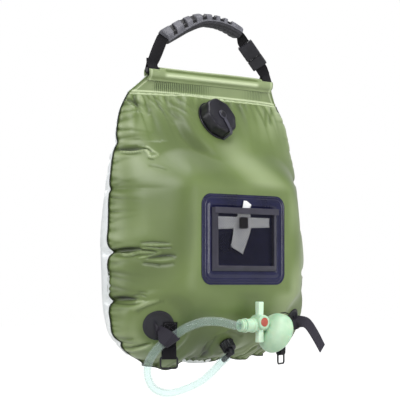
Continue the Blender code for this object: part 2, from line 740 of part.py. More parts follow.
def make_outlet(seat):
    axis = frame_at("outlet_axis", seat.outer, seat.normal)
    inside = -(FILM + 2 * GAP)
    flange_top = inside - GASKET_THICKNESS - GAP
    elbow_collar = NUT_FLOOR / 2
    spigot_top = NUT_LENGTH - NUT_FLOOR - elbow_collar - 2 * GAP
    turned("outlet_spigot", [
        (OUTLET_BORE, spigot_top), (SPIGOT_RADIUS, spigot_top), (SPIGOT_RADIUS, flange_top),
        (SPIGOT_FLANGE_RADIUS, flange_top), (SPIGOT_FLANGE_RADIUS, flange_top - SPIGOT_FLANGE),
        (OUTLET_BORE, flange_top - SPIGOT_FLANGE),
    ], "black_plastic", axis, ring=True)
    turned(
        "outlet_gasket",
        tube_ring(SPIGOT_RADIUS + GAP, SPIGOT_FLANGE_RADIUS, inside - GASKET_THICKNESS, inside),
        "seal_rubber", axis, ring=True,
    )
    skirt = SPIGOT_RADIUS + CAP_CLEARANCE
    throat = ELBOW_RADIUS + CAP_CLEARANCE
    floor_low = NUT_LENGTH - NUT_FLOOR
    edge = NUT_FLOOR / 3
    nut = bake(turned("outlet_nut", [
        (throat, NUT_LENGTH), (NUT_RADIUS - edge, NUT_LENGTH), (NUT_RADIUS, NUT_LENGTH - edge),
        (NUT_RADIUS, GAP),
        (skirt, GAP), (skirt, floor_low), (throat, floor_low),
    ], "black_plastic", axis, ring=True, steps=4 * NUT_RIBS))
    for vertex in nut.data.vertices:
        if math.hypot(vertex.co.x, vertex.co.y) > NUT_RADIUS - 1.5 * edge:
            rib = 0.5 - 0.5 * math.cos(NUT_RIBS * math.atan2(vertex.co.y, vertex.co.x))
            vertex.co.xy *= 1 - RIB_SHARE * rib
    smooth(nut)

    collar_top = floor_low - GAP
    bend_height = NUT_LENGTH + ELBOW_RISE
    elbow = turned("outlet_elbow", [
        (0.0, bend_height + ELBOW_RADIUS), (ELBOW_RADIUS * 0.7, bend_height + ELBOW_RADIUS * 0.7),
        (ELBOW_RADIUS, bend_height), (ELBOW_RADIUS, collar_top), (SPIGOT_RADIUS, collar_top),
        (SPIGOT_RADIUS, collar_top - elbow_collar), (0.0, collar_top - elbow_collar),
    ], "black_plastic", axis, steps=20)
    bend = axis.matrix_world @ Vector((0.0, 0.0, bend_height))
    lean = Vector(BARB_LEAN)
    normal = seat.normal
    out = (lean - normal * lean.dot(normal)).normalized()
    barb_axis = frame_at("barb_axis", bend, out)
    barb = turned("barb", [
        (0.0, BARB_LENGTH), (BARB_RADIUS * 0.8, BARB_LENGTH), (BARB_RADIUS, BARB_LENGTH * 0.7),
        (BARB_RADIUS * 0.85, BARB_LENGTH * 0.7), (BARB_RADIUS * 0.85, 0.0), (0.0, 0.0),
    ], "black_plastic", barb_axis, steps=16)
    boolean(elbow, as_cutter(barb), "UNION")
    bore = OUTLET_BORE * 0.6
    down = collar_top - elbow_collar - CUT_OVERRUN
    for label, frame, low, high in (
        ("elbow_bore", axis, down, bend_height), ("barb_bore", barb_axis, 0.0, BARB_LENGTH + CUT_OVERRUN),
    ):
        profile = [(0.0, high), (bore, high), (bore, low), (0.0, low)]
        bored = turned(label, profile, "black_plastic", frame, steps=12)
        boolean(elbow, as_cutter(bored))
    report("outlet axis", axis.matrix_world.translation, normal)
    report("barb tip", barb_axis.matrix_world @ Vector((0.0, 0.0, BARB_LENGTH)), out)


def make_hose():
    curve = bpy.data.curves.new("hose", "CURVE")
    curve.dimensions = "3D"
    curve.bevel_depth = HOSE_DIAMETER / 2
    curve.bevel_resolution = HOSE_SIDES_RESOLUTION
    curve.use_fill_caps = True
    route = smooth_route(HOSE_ROUTE, HOSE_STEP)
    spline = curve.splines.new("POLY")
    spline.points.add(len(route) - 1)
    for point, place_on_route in zip(spline.points, route):
        point.co = (*place_on_route, 1.0)
    place("hose", curve, "clear_hose")
    length = float(np.linalg.norm(np.diff(route, axis=0), axis=1).sum())
    print("hose length", round(length, 4), len(route), "points")


def make_head():
    """The shower head: collar, body with its sliding gate, and the tilted rose."""
    axis = frame_at("head_axis", HEAD_ORIGIN, (1, 0, 0))
    turned(
        "head_collar", tube_ring(VALVE_BORE, COLLAR_RADIUS, 3 * GAP, COLLAR_LENGTH),
        "mint_plastic", axis, ring=True, steps=24,
    )
    start = COLLAR_LENGTH + GAP
    body = turned("head_body", [
        (0.0, NECK_END), (NECK_RADIUS, NECK_END), (NECK_RADIUS, start + VALVE_LENGTH),
        (VALVE_RADIUS, start + VALVE_LENGTH - VALVE_LENGTH / 8), (VALVE_RADIUS, start), (0.0, start),
    ], "mint_plastic", axis, steps=24)
    housing_axis = frame_at(
        "housing_axis", axis.matrix_world @ Vector((0.0, VALVE_LIFT, GATE_AT)), (0, -1, 0),
    )
    front, back = HOUSING_HALF_DEPTH, -HOUSING_HALF_DEPTH
    housing = turned(
        "housing", [(0.0, front), (HOUSING_RADIUS, front), (HOUSING_RADIUS, back), (0.0, back)],
        "mint_plastic", housing_axis, steps=32,
    )
    boolean(body, as_cutter(housing), "UNION")
    slot_along = GATE_ALONG + 2 * GATE_CLEARANCE
    slot = block(
        "gate_slot", (GATE_DEPTH + 2 * GATE_CLEARANCE, 4 * HOUSING_RADIUS, slot_along),
        (0.0, VALVE_LIFT, GATE_AT), "mint_plastic", axis,
    )
    bore = turned("head_bore", [
        (0.0, NECK_END + CUT_OVERRUN), (VALVE_BORE, NECK_END + CUT_OVERRUN), (VALVE_BORE, 0.0), (0.0, 0.0),
    ], "mint_plastic", axis, steps=16)
    recess_half = slot_along / 2 + SEAL_THICKNESS + GAP
    recess = turned("seal_recess", [
        (0.0, GATE_AT + recess_half), (SEAL_RADIUS + GAP, GATE_AT + recess_half),
        (SEAL_RADIUS + GAP, GATE_AT - recess_half), (0.0, GATE_AT - recess_half),
    ], "mint_plastic", axis, steps=SMALL_STEPS)
    plug_low = front - PLUG_DEPTH
    plug_recess = turned("plug_recess", [
        (0.0, front + CUT_OVERRUN), (PLUG_RADIUS + GAP, front + CUT_OVERRUN), (PLUG_RADIUS + GAP, plug_low),
        (0.0, plug_low),
    ], "mint_plastic", housing_axis)
    for cutter in (slot, bore, recess, plug_recess):
        boolean(body, as_cutter(cutter))
    turned("head_plug", [
        (0.0, front + PLUG_PROUD), (PLUG_RADIUS - PLUG_PROUD, front + PLUG_PROUD), (PLUG_RADIUS, front),
        (PLUG_RADIUS, plug_low + GAP), (0.0, plug_low + GAP),
    ], "red_plastic", housing_axis)

    gate = block(
        "head_gate", (GATE_DEPTH, 2 * GATE_HALF_LENGTH, GATE_ALONG), (0.0, VALVE_LIFT, GATE_AT),
        "mint_plastic", axis, bevel=GATE_CLEARANCE * 3,
    )
    reach = GATE_ALONG
    port = turned("gate_port", [
        (0.0, GATE_AT + reach), (VALVE_BORE, GATE_AT + reach),
        (VALVE_BORE, GATE_AT - reach), (0.0, GATE_AT - reach),
    ], "mint_plastic", axis, steps=16)
    boolean(gate, as_cutter(port))
    for label, side in (("in", -1), ("out", 1)):
        face = GATE_AT + side * slot_along / 2
        far = face + side * SEAL_THICKNESS
        turned(
            f"gate_seal_{label}", tube_ring(VALVE_BORE, SEAL_RADIUS, min(face, far), max(face, far)),
            "seal_rubber", axis, ring=True, steps=SMALL_STEPS,
        )
    make_rose(axis)


def make_rose(axis):
    along = NECK_END + NECK_RADIUS * math.sin(ROSE_TILT) + GAP
    origin = axis.matrix_world @ Vector((0.0, 0.0, along))
    rose_axis = frame_at("rose_axis", origin, (math.cos(ROSE_TILT), 0.0, -math.sin(ROSE_TILT)))
    start = math.asin(NECK_RADIUS / ROSE_RADIUS)
    angles = np.linspace(start, math.pi / 2, 8)
    level = ROSE_DEPTH * (1 - math.cos(start))
    outer = [(ROSE_RADIUS * math.sin(a), ROSE_DEPTH * (1 - math.cos(a)) - level) for a in angles]
    inner_radius, inner_depth = ROSE_RADIUS - ROSE_WALL, ROSE_DEPTH - ROSE_WALL
    inner_start = math.asin(VALVE_BORE / inner_radius)
    inner_angles = np.linspace(inner_start, math.radians(80), 6)
    depth = outer[-1][1]
    inner = [
        (inner_radius * math.sin(a), depth - inner_depth * math.cos(a)) for a in inner_angles
    ]
    ledge = inner_radius - ROSE_WALL
    mouth = depth + RIM_LENGTH
    profile = [*[(r, h) for r, h in inner], (ledge, depth), (inner_radius, depth), (inner_radius, mouth)]
    profile += [(ROSE_RADIUS, mouth), *reversed(outer), (VALVE_BORE, 0.0)]
    turned("head_rose", profile, "mint_plastic", rose_axis, ring=True, steps=28)
    seal_top = depth + GAP + GASKET_THICKNESS / 2
    turned(
        "rose_gasket", tube_ring(ledge, inner_radius - GAP, depth + GAP, seal_top),
        "seal_rubber", rose_axis, ring=True,
    )
    face_low = seal_top + GAP
    face_radius = inner_radius - GAP
    face = turned("rose_face", [
        (0.0, face_low + FACE_THICKNESS), (face_radius, face_low + FACE_THICKNESS), (face_radius, face_low),
        (0.0, face_low),
    ], "mint_plastic", rose_axis, steps=36)
    work = bmesh.new()
    for radius_share, count in JET_RINGS:
        for index in range(count):
            angle = 2 * math.pi * index / count
            spot = Matrix.Translation((
                face_radius * radius_share * math.cos(angle), face_radius * radius_share * math.sin(angle),
                face_low + FACE_THICKNESS / 2,
            ))
            bmesh.ops.create_cone(
                work, cap_ends=True, segments=8, radius1=JET_RADIUS, radius2=JET_RADIUS,
                depth=FACE_THICKNESS + CUT_OVERRUN, matrix=spot,
            )
    mesh = bpy.data.meshes.new("jets")
    work.to_mesh(mesh)
    work.free()
    boolean(face, as_cutter(place("jets", mesh, "mint_plastic", rose_axis)))


def make_pocket():
    front = pocket_plane_y() - FILM - GAP
    plane = frame_at("pocket_plane", (0.0, front, POCKET_Z), (0, -1, 0))
    outline_curve(
        "pocket_patch", [rounded_rectangle(PATCH_HALF_WIDTH, PATCH_HALF_HEIGHT, PATCH_CORNER)],
        PATCH_THICKNESS, "navy_vinyl", plane, Matrix.Translation((0.0, 0.0, PATCH_THICKNESS / 2)),
    )
    wide, high, tape = FRAME_HALF_WIDTH, FRAME_HALF_HEIGHT, TAPE_WIDTH
    on_patch = PATCH_THICKNESS + GAP
    outline_curve("pocket_frame", [[
        (-wide, high), (-wide, -high), (wide, -high), (wide, high), (wide - tape, high),
        (wide - tape, -high + tape), (-wide + tape, -high + tape), (-wide + tape, high),
    ]], POCKET_DEPTH, "black_webbing", plane, Matrix.Translation((0.0, 0.0, on_patch + POCKET_DEPTH / 2)))
    mouth_low = on_patch + POCKET_DEPTH + GAP
    block(
        "pocket_mouth_tape", (2 * wide, tape, TAPE_THICKNESS),
        (0.0, high - tape / 2, mouth_low + TAPE_THICKNESS / 2), "black_webbing", plane,
    )

    net_half_width = wide - tape - GAP
    net_top = high - tape / 2
    net_bottom = -high + tape + GAP
    work = bmesh.new()
    bmesh.ops.create_grid(work, x_segments=NET_COLUMNS, y_segments=NET_ROWS, size=0.5)
    bmesh.ops.scale(work, vec=(2 * net_half_width, net_top - net_bottom, 1.0), verts=work.verts)
    bmesh.ops.inset_individual(work, faces=work.faces, thickness=NET_STRAND / 2)
    gaps = [face for face in work.faces if all(len(vert.link_edges) < 4 for vert in face.verts)]
    cell = 2 * net_half_width * (net_top - net_bottom) / (NET_COLUMNS * NET_ROWS)
    gaps = [face for face in gaps if face.calc_area() > cell / 2]
    bmesh.ops.delete(work, geom=gaps, context="FACES")
    mesh = bpy.data.meshes.new("pocket_net")
    work.to_mesh(mesh)
    work.free()
    net_level = on_patch + POCKET_DEPTH - NET_THICKNESS
    centre = Matrix.Translation((0.0, (net_top + net_bottom) / 2, net_level))
    net = place("pocket_net", mesh, "black_net", plane, centre)
    solid = net.modifiers.new("Thickness", "SOLIDIFY")
    solid.thickness = NET_THICKNESS
    solid.offset = 0.0

    closure_y = net_top - tape / 2 - CLOSURE_SIZE / 2 - CLOSURE_DROP
    block(
        "pocket_closure", (CLOSURE_SIZE, CLOSURE_SIZE, TAPE_THICKNESS),
        (CLOSURE_X, closure_y, mouth_low + TAPE_THICKNESS / 2), "black_webbing", plane,
    )
    strip_y = closure_y
    block(
        "pocket_strip", (2 * STRIP_HALF_WIDTH, STRIP_HEIGHT, TAG_THICKNESS),
        (0.0, strip_y, on_patch + TAG_THICKNESS / 2), "pale_cloth", plane,
    )
    tag_level = on_patch + TAG_THICKNESS + GAP
    tag_top = high + TAG_SHOWING
    block(
        "pocket_tag", (TAG_WIDTH, TAG_HEIGHT, TAG_THICKNESS),
        (TAG_X, tag_top - TAG_HEIGHT / 2, tag_level + TAG_THICKNESS / 2), "pale_cloth", plane,
    )
    report("pocket plane", plane.matrix_world.translation, (0, -1, 0))


def make_side_group(label, seat):
    """A round patch with a webbing tab that carries a ring."""
    axis = frame_at(f"{label}_patch_axis", seat.outer, seat.normal)
    turned(f"{label}_patch", [
        (0.0, ROUND_THICKNESS), (ROUND_RADIUS, ROUND_THICKNESS), (ROUND_RADIUS, 0.0), (0.0, 0.0),
    ], "black_webbing", axis)

    outward = Vector((seat.normal.x, seat.normal.y, 0.0)).normalized()
    sideways = Vector((0, 0, 1)).cross(outward)
    hang = Matrix((outward, Vector((0, 0, 1)), sideways * -1)).transposed().to_4x4()
    hang.translation = seat.outer - sideways * math.copysign(TAB_INSET, seat.outer.x)
    face = Vector((seat.normal.dot(outward), seat.normal.z))
    down_face = Vector((face.y, -face.x))
    offset = face * (ROUND_THICKNESS + GAP + TAB_THICKNESS / 2)
    sewn_top = offset - down_face * TAB_ABOVE
    sewn_low = offset + down_face * TAB_BELOW
    loop = RING_BAR * math.sqrt(0.5) + RING_CLEARANCE + TAB_THICKNESS / 2
    bar = (sewn_low.x - loop + TAB_STANDOFF, -TAB_DROP)
    front_x = bar[0] + loop
    path = [tuple(sewn_top), tuple(sewn_low), (front_x, sewn_low.y - TAB_ABOVE)]
    path += arc(bar, loop, 0, -180, 9)
    path.append((bar[0] - loop, bar[1] + 3 * loop))
    strip(f"{label}_tab", path, TAB_WIDTH, TAB_THICKNESS, "black_webbing", None, hang)

    ring_frame = hang @ Matrix.Translation((bar[0], bar[1], 0.0)) @ Matrix.Rotation(math.pi / 2, 4, "Y")
    outer_wide, bar_half = RING_HALF_WIDTH, RING_BAR / 2
    high, low = bar_half, bar_half - RING_HEIGHT
    outer = [(-outer_wide, high), (-outer_wide, low), (outer_wide, low), (outer_wide, high)]
    inner_wide = outer_wide - RING_BAR
    inner = [(-inner_wide, high - RING_BAR), (-inner_wide, low + RING_BAR), (inner_wide, low + RING_BAR),
             (inner_wide, high - RING_BAR)]
    outline_curve(f"{label}_ring", (outer, inner), RING_BAR, "black_plastic", None, ring_frame)
    report(f"{label} ring pivot", ring_frame.translation, sideways)
    report(f"{label} ring foot", ring_frame @ Vector((0.0, low, 0.0)), outward)
    return axis


def make_left_strap(seat):
    """The hook-and-loop strap that goes from the left patch over the hose and back behind it."""
    route = smooth_route(HOSE_ROUTE, HOSE_STEP)
    patch = np.array(seat.outer) + np.array(seat.normal) * ROUND_THICKNESS
    at = int(np.argmin(np.linalg.norm(route - (patch + np.array(STRAP_REACH)), axis=1)))
    hose = route[at]
    width = unit(route[at + 1] - route[at - 1])
    normal = np.array(seat.normal)
    lift = unit(normal - width * normal.dot(width))
    away = np.cross(width, lift)
    away *= np.sign((hose - patch).dot(away))
    across = (patch - hose).dot(away)
    on_patch = (patch - hose).dot(lift) + 3 * GAP + TAB_THICKNESS + STRAP_THICKNESS
    radius = HOSE_DIAMETER / 2 + STRAP_SLACK + STRAP_THICKNESS / 2
    path = [(across - STITCH_LENGTH / 2, on_patch), (across + STITCH_LENGTH / 4, on_patch)]
    path += arc((0.0, 0.0), radius, 120, -10, 9)
    report("strap over hose", hose, lift)
    report("strap level", (across, on_patch, 0.0), normal)
    centres = [hose + away * x + lift * y for x, y in path]
    band("left_strap", centres, [width * STRAP_WIDTH] * len(centres), STRAP_THICKNESS, "black_webbing")


def make_right_strap(seat):
    """The free strap of the right patch, which sticks out to the right and droops."""
    root = np.array(seat.outer) + np.array(seat.normal) * (ROUND_THICKNESS + GAP + STRAP_THICKNESS / 2)
    centres = [root + np.array(step) for step in FREE_STRAP_STEPS]
    widths = []
    for index, lean in enumerate(FREE_STRAP_LEANS):
        ahead = centres[min(index + 1, len(centres) - 1)] - centres[max(index - 1, 0)]
        ahead = unit(ahead)
        lean = np.array(lean, float)
        widths.append(unit(lean - ahead * lean.dot(ahead)) * STRAP_WIDTH)
    band("right_strap", centres, widths, STRAP_THICKNESS, "black_webbing")
    report("right strap root", centres[0], widths[0])


def twist_between(first, last, count):
    """Width vectors that turn evenly from one to the other."""
    shares = np.linspace(0.0, 1.0, count)[:, None]
    mixed = np.array(first) * (1 - shares) + np.array(last) * shares
    return mixed / np.linalg.norm(mixed, axis=1)[:, None]


def loop_stations(x):
    """Centres of a webbing loop round the rod, from its tail behind to its front above the rod."""
    radius = ROD_RADIUS + WEBBING_CLEARANCE + WEBBING_THICKNESS / 2
    beside = WEBBING_THICKNESS / 2 + GAP
    points = [(beside, LOOP_TAIL), (beside, 2 * radius)]
    points += arc((0.0, 0.0), radius, 20, -200, 12)
    points.append((-beside, 2 * radius))
    return [(x, y, rod_z() + z) for y, z in points]


def fitted_widths(centres, widths):
    """Width vectors made square to the path and given the webbing's width."""
    centres = np.array(centres)
    ahead = np.gradient(centres, axis=0)
    ahead /= np.linalg.norm(ahead, axis=1)[:, None]
    square = widths - ahead * (widths * ahead).sum(axis=1)[:, None]
    return square / np.linalg.norm(square, axis=1)[:, None] * WEBBING_WIDTH


def buckle_axes():
    top, foot = Vector((BUCKLE_TOP[0], 0.0, BUCKLE_TOP[1])), Vector((BUCKLE_FOOT[0], 0.0, BUCKLE_FOOT[1]))
    along = (foot - top).normalized()
    under = Vector((along.z, 0.0, -along.x))
    facing = Vector((0.0, -1.0, 0.0)) * math.cos(BUCKLE_ROLL) + under * math.sin(BUCKLE_ROLL)
    return top, along, facing


def grip_spine():
    """The grip's middle line, as (x, z) points."""
    return smooth_route([(x, 0.0, z) for x, z in GRIP_SPINE], GRIP_WIDTH / 3)[:, [0, 2]]


def make_webbing():
    top, along, facing = buckle_axes()
    across = facing.cross(along)
    spine = np.array([(x, 0.0, z) for x, z in grip_spine()])
    gripped = -rolled_axes(grip_spine())[0]
    lead = 2 * WEBBING_THICKNESS
    left_loop = loop_stations(LEFT_WEB_X)
    start = np.array(left_loop[-1])
    entry = spine[0] - unit(spine[1] - spine[0]) * lead
    rise = [start + (entry - start) * share for share in WEB_RISE_SHARES] + [entry]
    leave = spine[-1] + unit(spine[-1] - spine[-2]) * lead
    arrive = np.array(top - along * GAP)
    before = arrive - np.array(along) * lead
    fall = [leave] + [leave + (before - leave) * share for share in WEB_FALL_SHARES] + [before, arrive]
    centres = [*left_loop, *rise, *spine, *fall]
    widths = np.vstack([
        np.tile((1.0, 0.0, 0.0), (len(left_loop), 1)),
        twist_between((1.0, 0.0, 0.0), gripped[0], len(rise) + 1)[1:],
        gripped,
        gripped[-1:],
        twist_between(gripped[-1], across, len(fall))[1:],
    ])
    band("handle_webbing", centres, fitted_widths(centres, widths), WEBBING_THICKNESS, "black_webbing")

    right_loop = loop_stations(RIGHT_WEB_X)[::-1]
    foot = np.array(top + along * (SOCKET_LENGTH + PLUG_GAP + PLUG_BODY_LENGTH + GAP))
    finish = np.array(right_loop[0])
    straight = foot + np.array(along) * 2 * WEBBING_THICKNESS
    steps = [foot, straight, *(straight + (finish - straight) * share for share in (0.33, 0.66))]
    centres = [*steps, *right_loop]
    widths = np.vstack([
        twist_between(across, (1.0, 0.0, 0.0), len(steps) + 1)[:-1],
        np.tile((1.0, 0.0, 0.0), (len(right_loop), 1)),
    ])
    band("anchor_webbing", centres, fitted_widths(centres, widths), WEBBING_THICKNESS, "black_webbing")


def make_grip():
    half = GRIP_WIDTH / 2
    channel = WEBBING_WIDTH / 2 + GAP
    room = WEBBING_THICKNESS / 2 + GAP
    top = GRIP_HALF_THICKNESS
    round_edge = GRIP_SHELL
    spine = grip_spine()
    cover = swept("grip_cover", spine, [
        (half, -room), (half, top - 2 * round_edge), (half - round_edge, top - round_edge / 2),
        (half - 2 * round_edge, top), (-half + 2 * round_edge, top),
        (-half + round_edge, top - round_edge / 2),
        (-half, top - 2 * round_edge), (-half, -room), (-channel, -room), (-channel, room), (channel, room),
        (channel, -room),
    ], "grey_rubber")
    low = -room - GAP
    pad_half = half - GRIP_SHELL / 2
    pad = swept("grip_pad", spine, [
        (pad_half, low), (-pad_half, low), (-pad_half, low - GRIP_SHELL), (-pad_half + 2 * GRIP_SHELL, -top),
        (pad_half - 2 * GRIP_SHELL, -top), (pad_half, low - GRIP_SHELL),
    ], "dark_rubber")

    lengths = np.concatenate([[0.0], np.cumsum(np.hypot(*np.diff(spine, axis=0).T))])

    def on_spine(share):
        distance = share * lengths[-1]
        x, z = np.interp(distance, lengths, spine[:, 0]), np.interp(distance, lengths, spine[:, 1])
        near = np.interp([distance - SLOT_LENGTH, distance + SLOT_LENGTH], lengths, spine[:, 0])
        near_z = np.interp([distance - SLOT_LENGTH, distance + SLOT_LENGTH], lengths, spine[:, 1])
        lean = math.atan2(near_z[1] - near_z[0], near[1] - near[0])
        roll = GRIP_ROLL_START + (GRIP_ROLL_END - GRIP_ROLL_START) * share
        return Matrix.Translation((x, 0.0, z)) @ Matrix.Rotation(-lean, 4, "Y") @ Matrix.Rotation(roll, 4, "X")

    slots = []
    for index in range(GRIP_SLOTS):
        slots.append((on_spine((index + 1) / (GRIP_SLOTS + 1)) @ Matrix.Translation((0.0, 0.0, top)),
                      (SLOT_LENGTH, 2 * SLOT_HALF_WIDTH, 2 * SLOT_DEPTH)))
    boolean(cover, as_cutter(blocks("grip_slots", slots)))
    ribs = []
    for share in np.linspace(*PAD_RIB_SHARES, PAD_RIBS):
        ribs.append((on_spine(share) @ Matrix.Translation((0.0, 0.0, -top)),
                     (2 * SLOT_LENGTH, 2 * SLOT_HALF_WIDTH, 2 * PAD_HEIGHT)))
    boolean(pad, as_cutter(blocks("pad_ribs", ribs)), "UNION")


def blocks(name, places):
    """Several boxes in one mesh, each with its own matrix and size."""
    work = bmesh.new()
    for matrix, size in places:
        bmesh.ops.create_cube(work, size=1.0, matrix=matrix @ Matrix.Diagonal((*size, 1.0)))
    mesh = bpy.data.meshes.new(name)
    work.to_mesh(mesh)
    work.free()
    return place(name, mesh, "black_plastic")


def make_buckle():
    """A side-release buckle: local Z runs down the strap, local Y is its face and local X its width."""
    top, along, facing = buckle_axes()
    axis = frame_at("buckle_axis", top, along, facing)
    wide, deep, wall = BUCKLE_WIDTH, BUCKLE_DEPTH, BUCKLE_WALL
    socket = block(
        "buckle_socket", (wide, deep, SOCKET_LENGTH), (0.0, 0.0, SOCKET_LENGTH / 2), "black_plastic", axis,
        bevel=wall,
    )
    cavity_length = PRONG_LENGTH + wall
    cavity = block(
        "socket_cavity", (wide - 2 * wall, deep - 2 * wall, cavity_length + CUT_OVERRUN),
        (0.0, 0.0, SOCKET_LENGTH - cavity_length / 2 + CUT_OVERRUN / 2), "black_plastic", axis,
    )
    window_low = SOCKET_LENGTH - PRONG_LENGTH - wall / 2
    window_high = window_low + WINDOW_LENGTH
    windows = block(
        "socket_windows", (wide + CUT_OVERRUN, deep - 2 * wall, WINDOW_LENGTH),
        (0.0, 0.0, (window_low + window_high) / 2), "black_plastic", axis,
    )
    boolean(socket, as_cutter(cavity))
    boolean(socket, as_cutter(windows))

    plug_top = SOCKET_LENGTH + PLUG_GAP
    inner_deep = deep - 2 * wall - 2 * GAP
    plug = block(
        "buckle_plug", (wide, deep, PLUG_BODY_LENGTH), (0.0, 0.0, plug_top + PLUG_BODY_LENGTH / 2),
        "black_plastic", axis, bevel=wall,
    )
    tongue_length = PRONG_LENGTH - wall
    tongue = block(
        "plug_tongue", (TONGUE_WIDTH, inner_deep, tongue_length + wall * 2),
        (0.0, 0.0, plug_top - tongue_length / 2 + wall), "black_plastic", axis,
    )
    boolean(plug, as_cutter(tongue), "UNION")

    stem_outer = wide / 2 - wall - GAP
    head_outer = wide / 2 - GAP
    prong_low = window_low + wall / 2
    for label, side in (("left", 1), ("right", -1)):
        length = plug_top - GAP - prong_low
        prong = block(
            f"buckle_prong_{label}", (PRONG_WIDTH, inner_deep, length),
            (side * (stem_outer - PRONG_WIDTH / 2), 0.0, prong_low + length / 2), "black_plastic", axis,
        )
        head_length = WINDOW_LENGTH - wall
        head_width = head_outer - stem_outer + PRONG_WIDTH / 2
        head = block(
            f"prong_head_{label}", (head_width, inner_deep - 2 * GAP, head_length),
            (side * (head_outer - head_width / 2), 0.0, prong_low + head_length / 2), "black_plastic", axis,
        )
        boolean(prong, as_cutter(head), "UNION")
        pivot = Vector((side * (stem_outer - PRONG_WIDTH / 2), 0.0, plug_top))
        report(f"{label} prong pivot", axis.matrix_world @ pivot, facing)
    report("buckle axis", top, along)


def report(label, position, direction):
    numbers = [round(float(value), 5) for value in (*tuple(position)[:3], *tuple(direction)[:3])]
    print(label, numbers)


clear_scene()
parts = new_collection("camp_shower_bag")
cutters = new_collection("cutters")
drop = WELD_Z - BOTTOM_Z
seats = {
    "port": Seat(PORT_X, WELD_Z - PORT_DROP_SHARE * drop, FLANGE_RADIUS, FLANGE_RADIUS, PORT_STANDOFF, PORT_YAW),
    "outlet": Seat(OUTLET_X, WELD_Z - OUTLET_DROP_SHARE * drop, SPIGOT_FLANGE_RADIUS, SPIGOT_FLANGE_RADIUS),
    "left": Seat(-SIDE_X, WELD_Z - SIDE_DROP_SHARE * drop, ROUND_RADIUS, ROUND_RADIUS, -SIDE_SINK),
    "right": Seat(SIDE_X, WELD_Z - SIDE_DROP_SHARE * drop, ROUND_RADIUS, ROUND_RADIUS, -SIDE_SINK),
}
make_hem()
make_panels(seats)
make_fill_port(seats["port"])
make_outlet(seats["outlet"])
make_hose()
make_head()
make_pocket()
make_side_group("left", seats["left"])
make_side_group("right", seats["right"])
make_left_strap(seats["left"])
make_right_strap(seats["right"])
make_webbing()
make_grip()
make_buckle()
report("rod axis", (0.0, 0.0, rod_z()), (1, 0, 0))
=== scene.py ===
import math

import bmesh
import bpy
import numpy as np
from mathutils import Matrix


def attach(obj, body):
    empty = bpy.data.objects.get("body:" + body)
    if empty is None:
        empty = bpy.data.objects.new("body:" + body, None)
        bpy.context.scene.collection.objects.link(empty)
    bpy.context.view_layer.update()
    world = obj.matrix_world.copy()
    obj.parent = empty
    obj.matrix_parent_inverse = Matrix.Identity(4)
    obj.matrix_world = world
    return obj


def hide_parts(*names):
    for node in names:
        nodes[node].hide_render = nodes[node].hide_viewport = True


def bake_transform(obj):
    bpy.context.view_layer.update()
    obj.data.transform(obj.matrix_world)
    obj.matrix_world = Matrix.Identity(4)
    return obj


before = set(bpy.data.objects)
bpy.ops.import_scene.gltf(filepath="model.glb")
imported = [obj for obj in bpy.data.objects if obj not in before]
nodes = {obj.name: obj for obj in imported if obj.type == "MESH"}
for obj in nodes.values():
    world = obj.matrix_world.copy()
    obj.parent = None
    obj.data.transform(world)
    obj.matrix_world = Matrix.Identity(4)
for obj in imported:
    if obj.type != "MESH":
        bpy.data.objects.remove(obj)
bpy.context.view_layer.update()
scene = bpy.context.scene
scene.view_settings.view_transform = "Standard"
mm = 0.001
rightward, backward, upward = np.eye(3)


def unit(vectors):
    # each vector divided by its own length
    vectors = np.asarray(vectors, float)
    return vectors / np.linalg.norm(vectors, axis=-1, keepdims=True)


def softStep(value):
    # 3t^2 - 2t^3, with t held between 0 and 1
    t = np.clip(value, 0.0, 1.0)
    return t * t * (3 - 2 * t)


def bell(value):
    # e to the minus value squared
    return np.exp(-value ** 2)


def arc(start, end, steps):
    # unit vectors (cos a, sin a), for a from start to end in degrees
    a = np.radians(np.linspace(start, end, steps))
    return np.column_stack([np.cos(a), np.sin(a)])


def circle(steps):
    # unit vectors all round, without the last one, which would meet the first
    return arc(0, 360, steps + 1)[:-1]


def runAlong(path):
    # distance along the path at each of its points
    return np.concatenate([[0.0], np.cumsum(np.linalg.norm(np.diff(path, axis=0), axis=1))])


def squareTo(sides, ahead):
    # width vectors made square to the way ahead
    return unit(sides - ahead * np.sum(sides * ahead, axis=1)[:, None])


def sharesAt(table, share):
    # cubic Hermite curve through the table's points, with central-difference slopes
    table = np.array(table)
    slopes = np.gradient(table[:, 1], table[:, 0])
    i = np.clip(np.searchsorted(table[:, 0], share, side="right") - 1, 0, len(table) - 2)
    span = table[i + 1, 0] - table[i, 0]
    t = np.clip((share - table[i, 0]) / span, 0.0, 1.0)
    start, end = table[i, 1], table[i + 1, 1]
    return ((2 * t**3 - 3 * t**2 + 1) * start + (t**3 - 2 * t**2 + t) * span * slopes[i]
            + (3 * t**2 - 2 * t**3) * end + (t**3 - t**2) * span * slopes[i + 1])


def smoothPath(points, count, extra=None):
    # Catmull-Rom curve through the points, resampled at even distances; extra columns are carried along
    route = np.asarray(points, float)
    if extra is not None:
        route = np.hstack([route, np.asarray(extra, float)])
    padded = np.vstack([2 * route[0] - route[1], route, 2 * route[-1] - route[-2]])
    t = np.linspace(0.0, 1.0, 24, endpoint=False)[None, :, None]
    a, b, c, d = (padded[k:len(padded) - 3 + k][:, None] for k in range(4))
    fine = b + 0.5 * t * (c - a + t * (2 * a - 5 * b + 4 * c - d + t * (3 * (b - c) + d - a)))
    fine = np.vstack([fine.reshape(-1, route.shape[1]), route[-1:]])
    along = runAlong(fine[:, :3])
    even = np.linspace(0.0, along[-1], count)
    made = np.column_stack([np.interp(even, along, column) for column in fine.T])
    return (made, along[-1]) if extra is None else (made[:, :3], made[:, 3:], along[-1])


def placed(rows, at):
    # a 4 x 4 matrix from a turn and a place
    return Matrix([[*row, place] for row, place in zip(rows.tolist(), at)] + [[0, 0, 0, 1]])


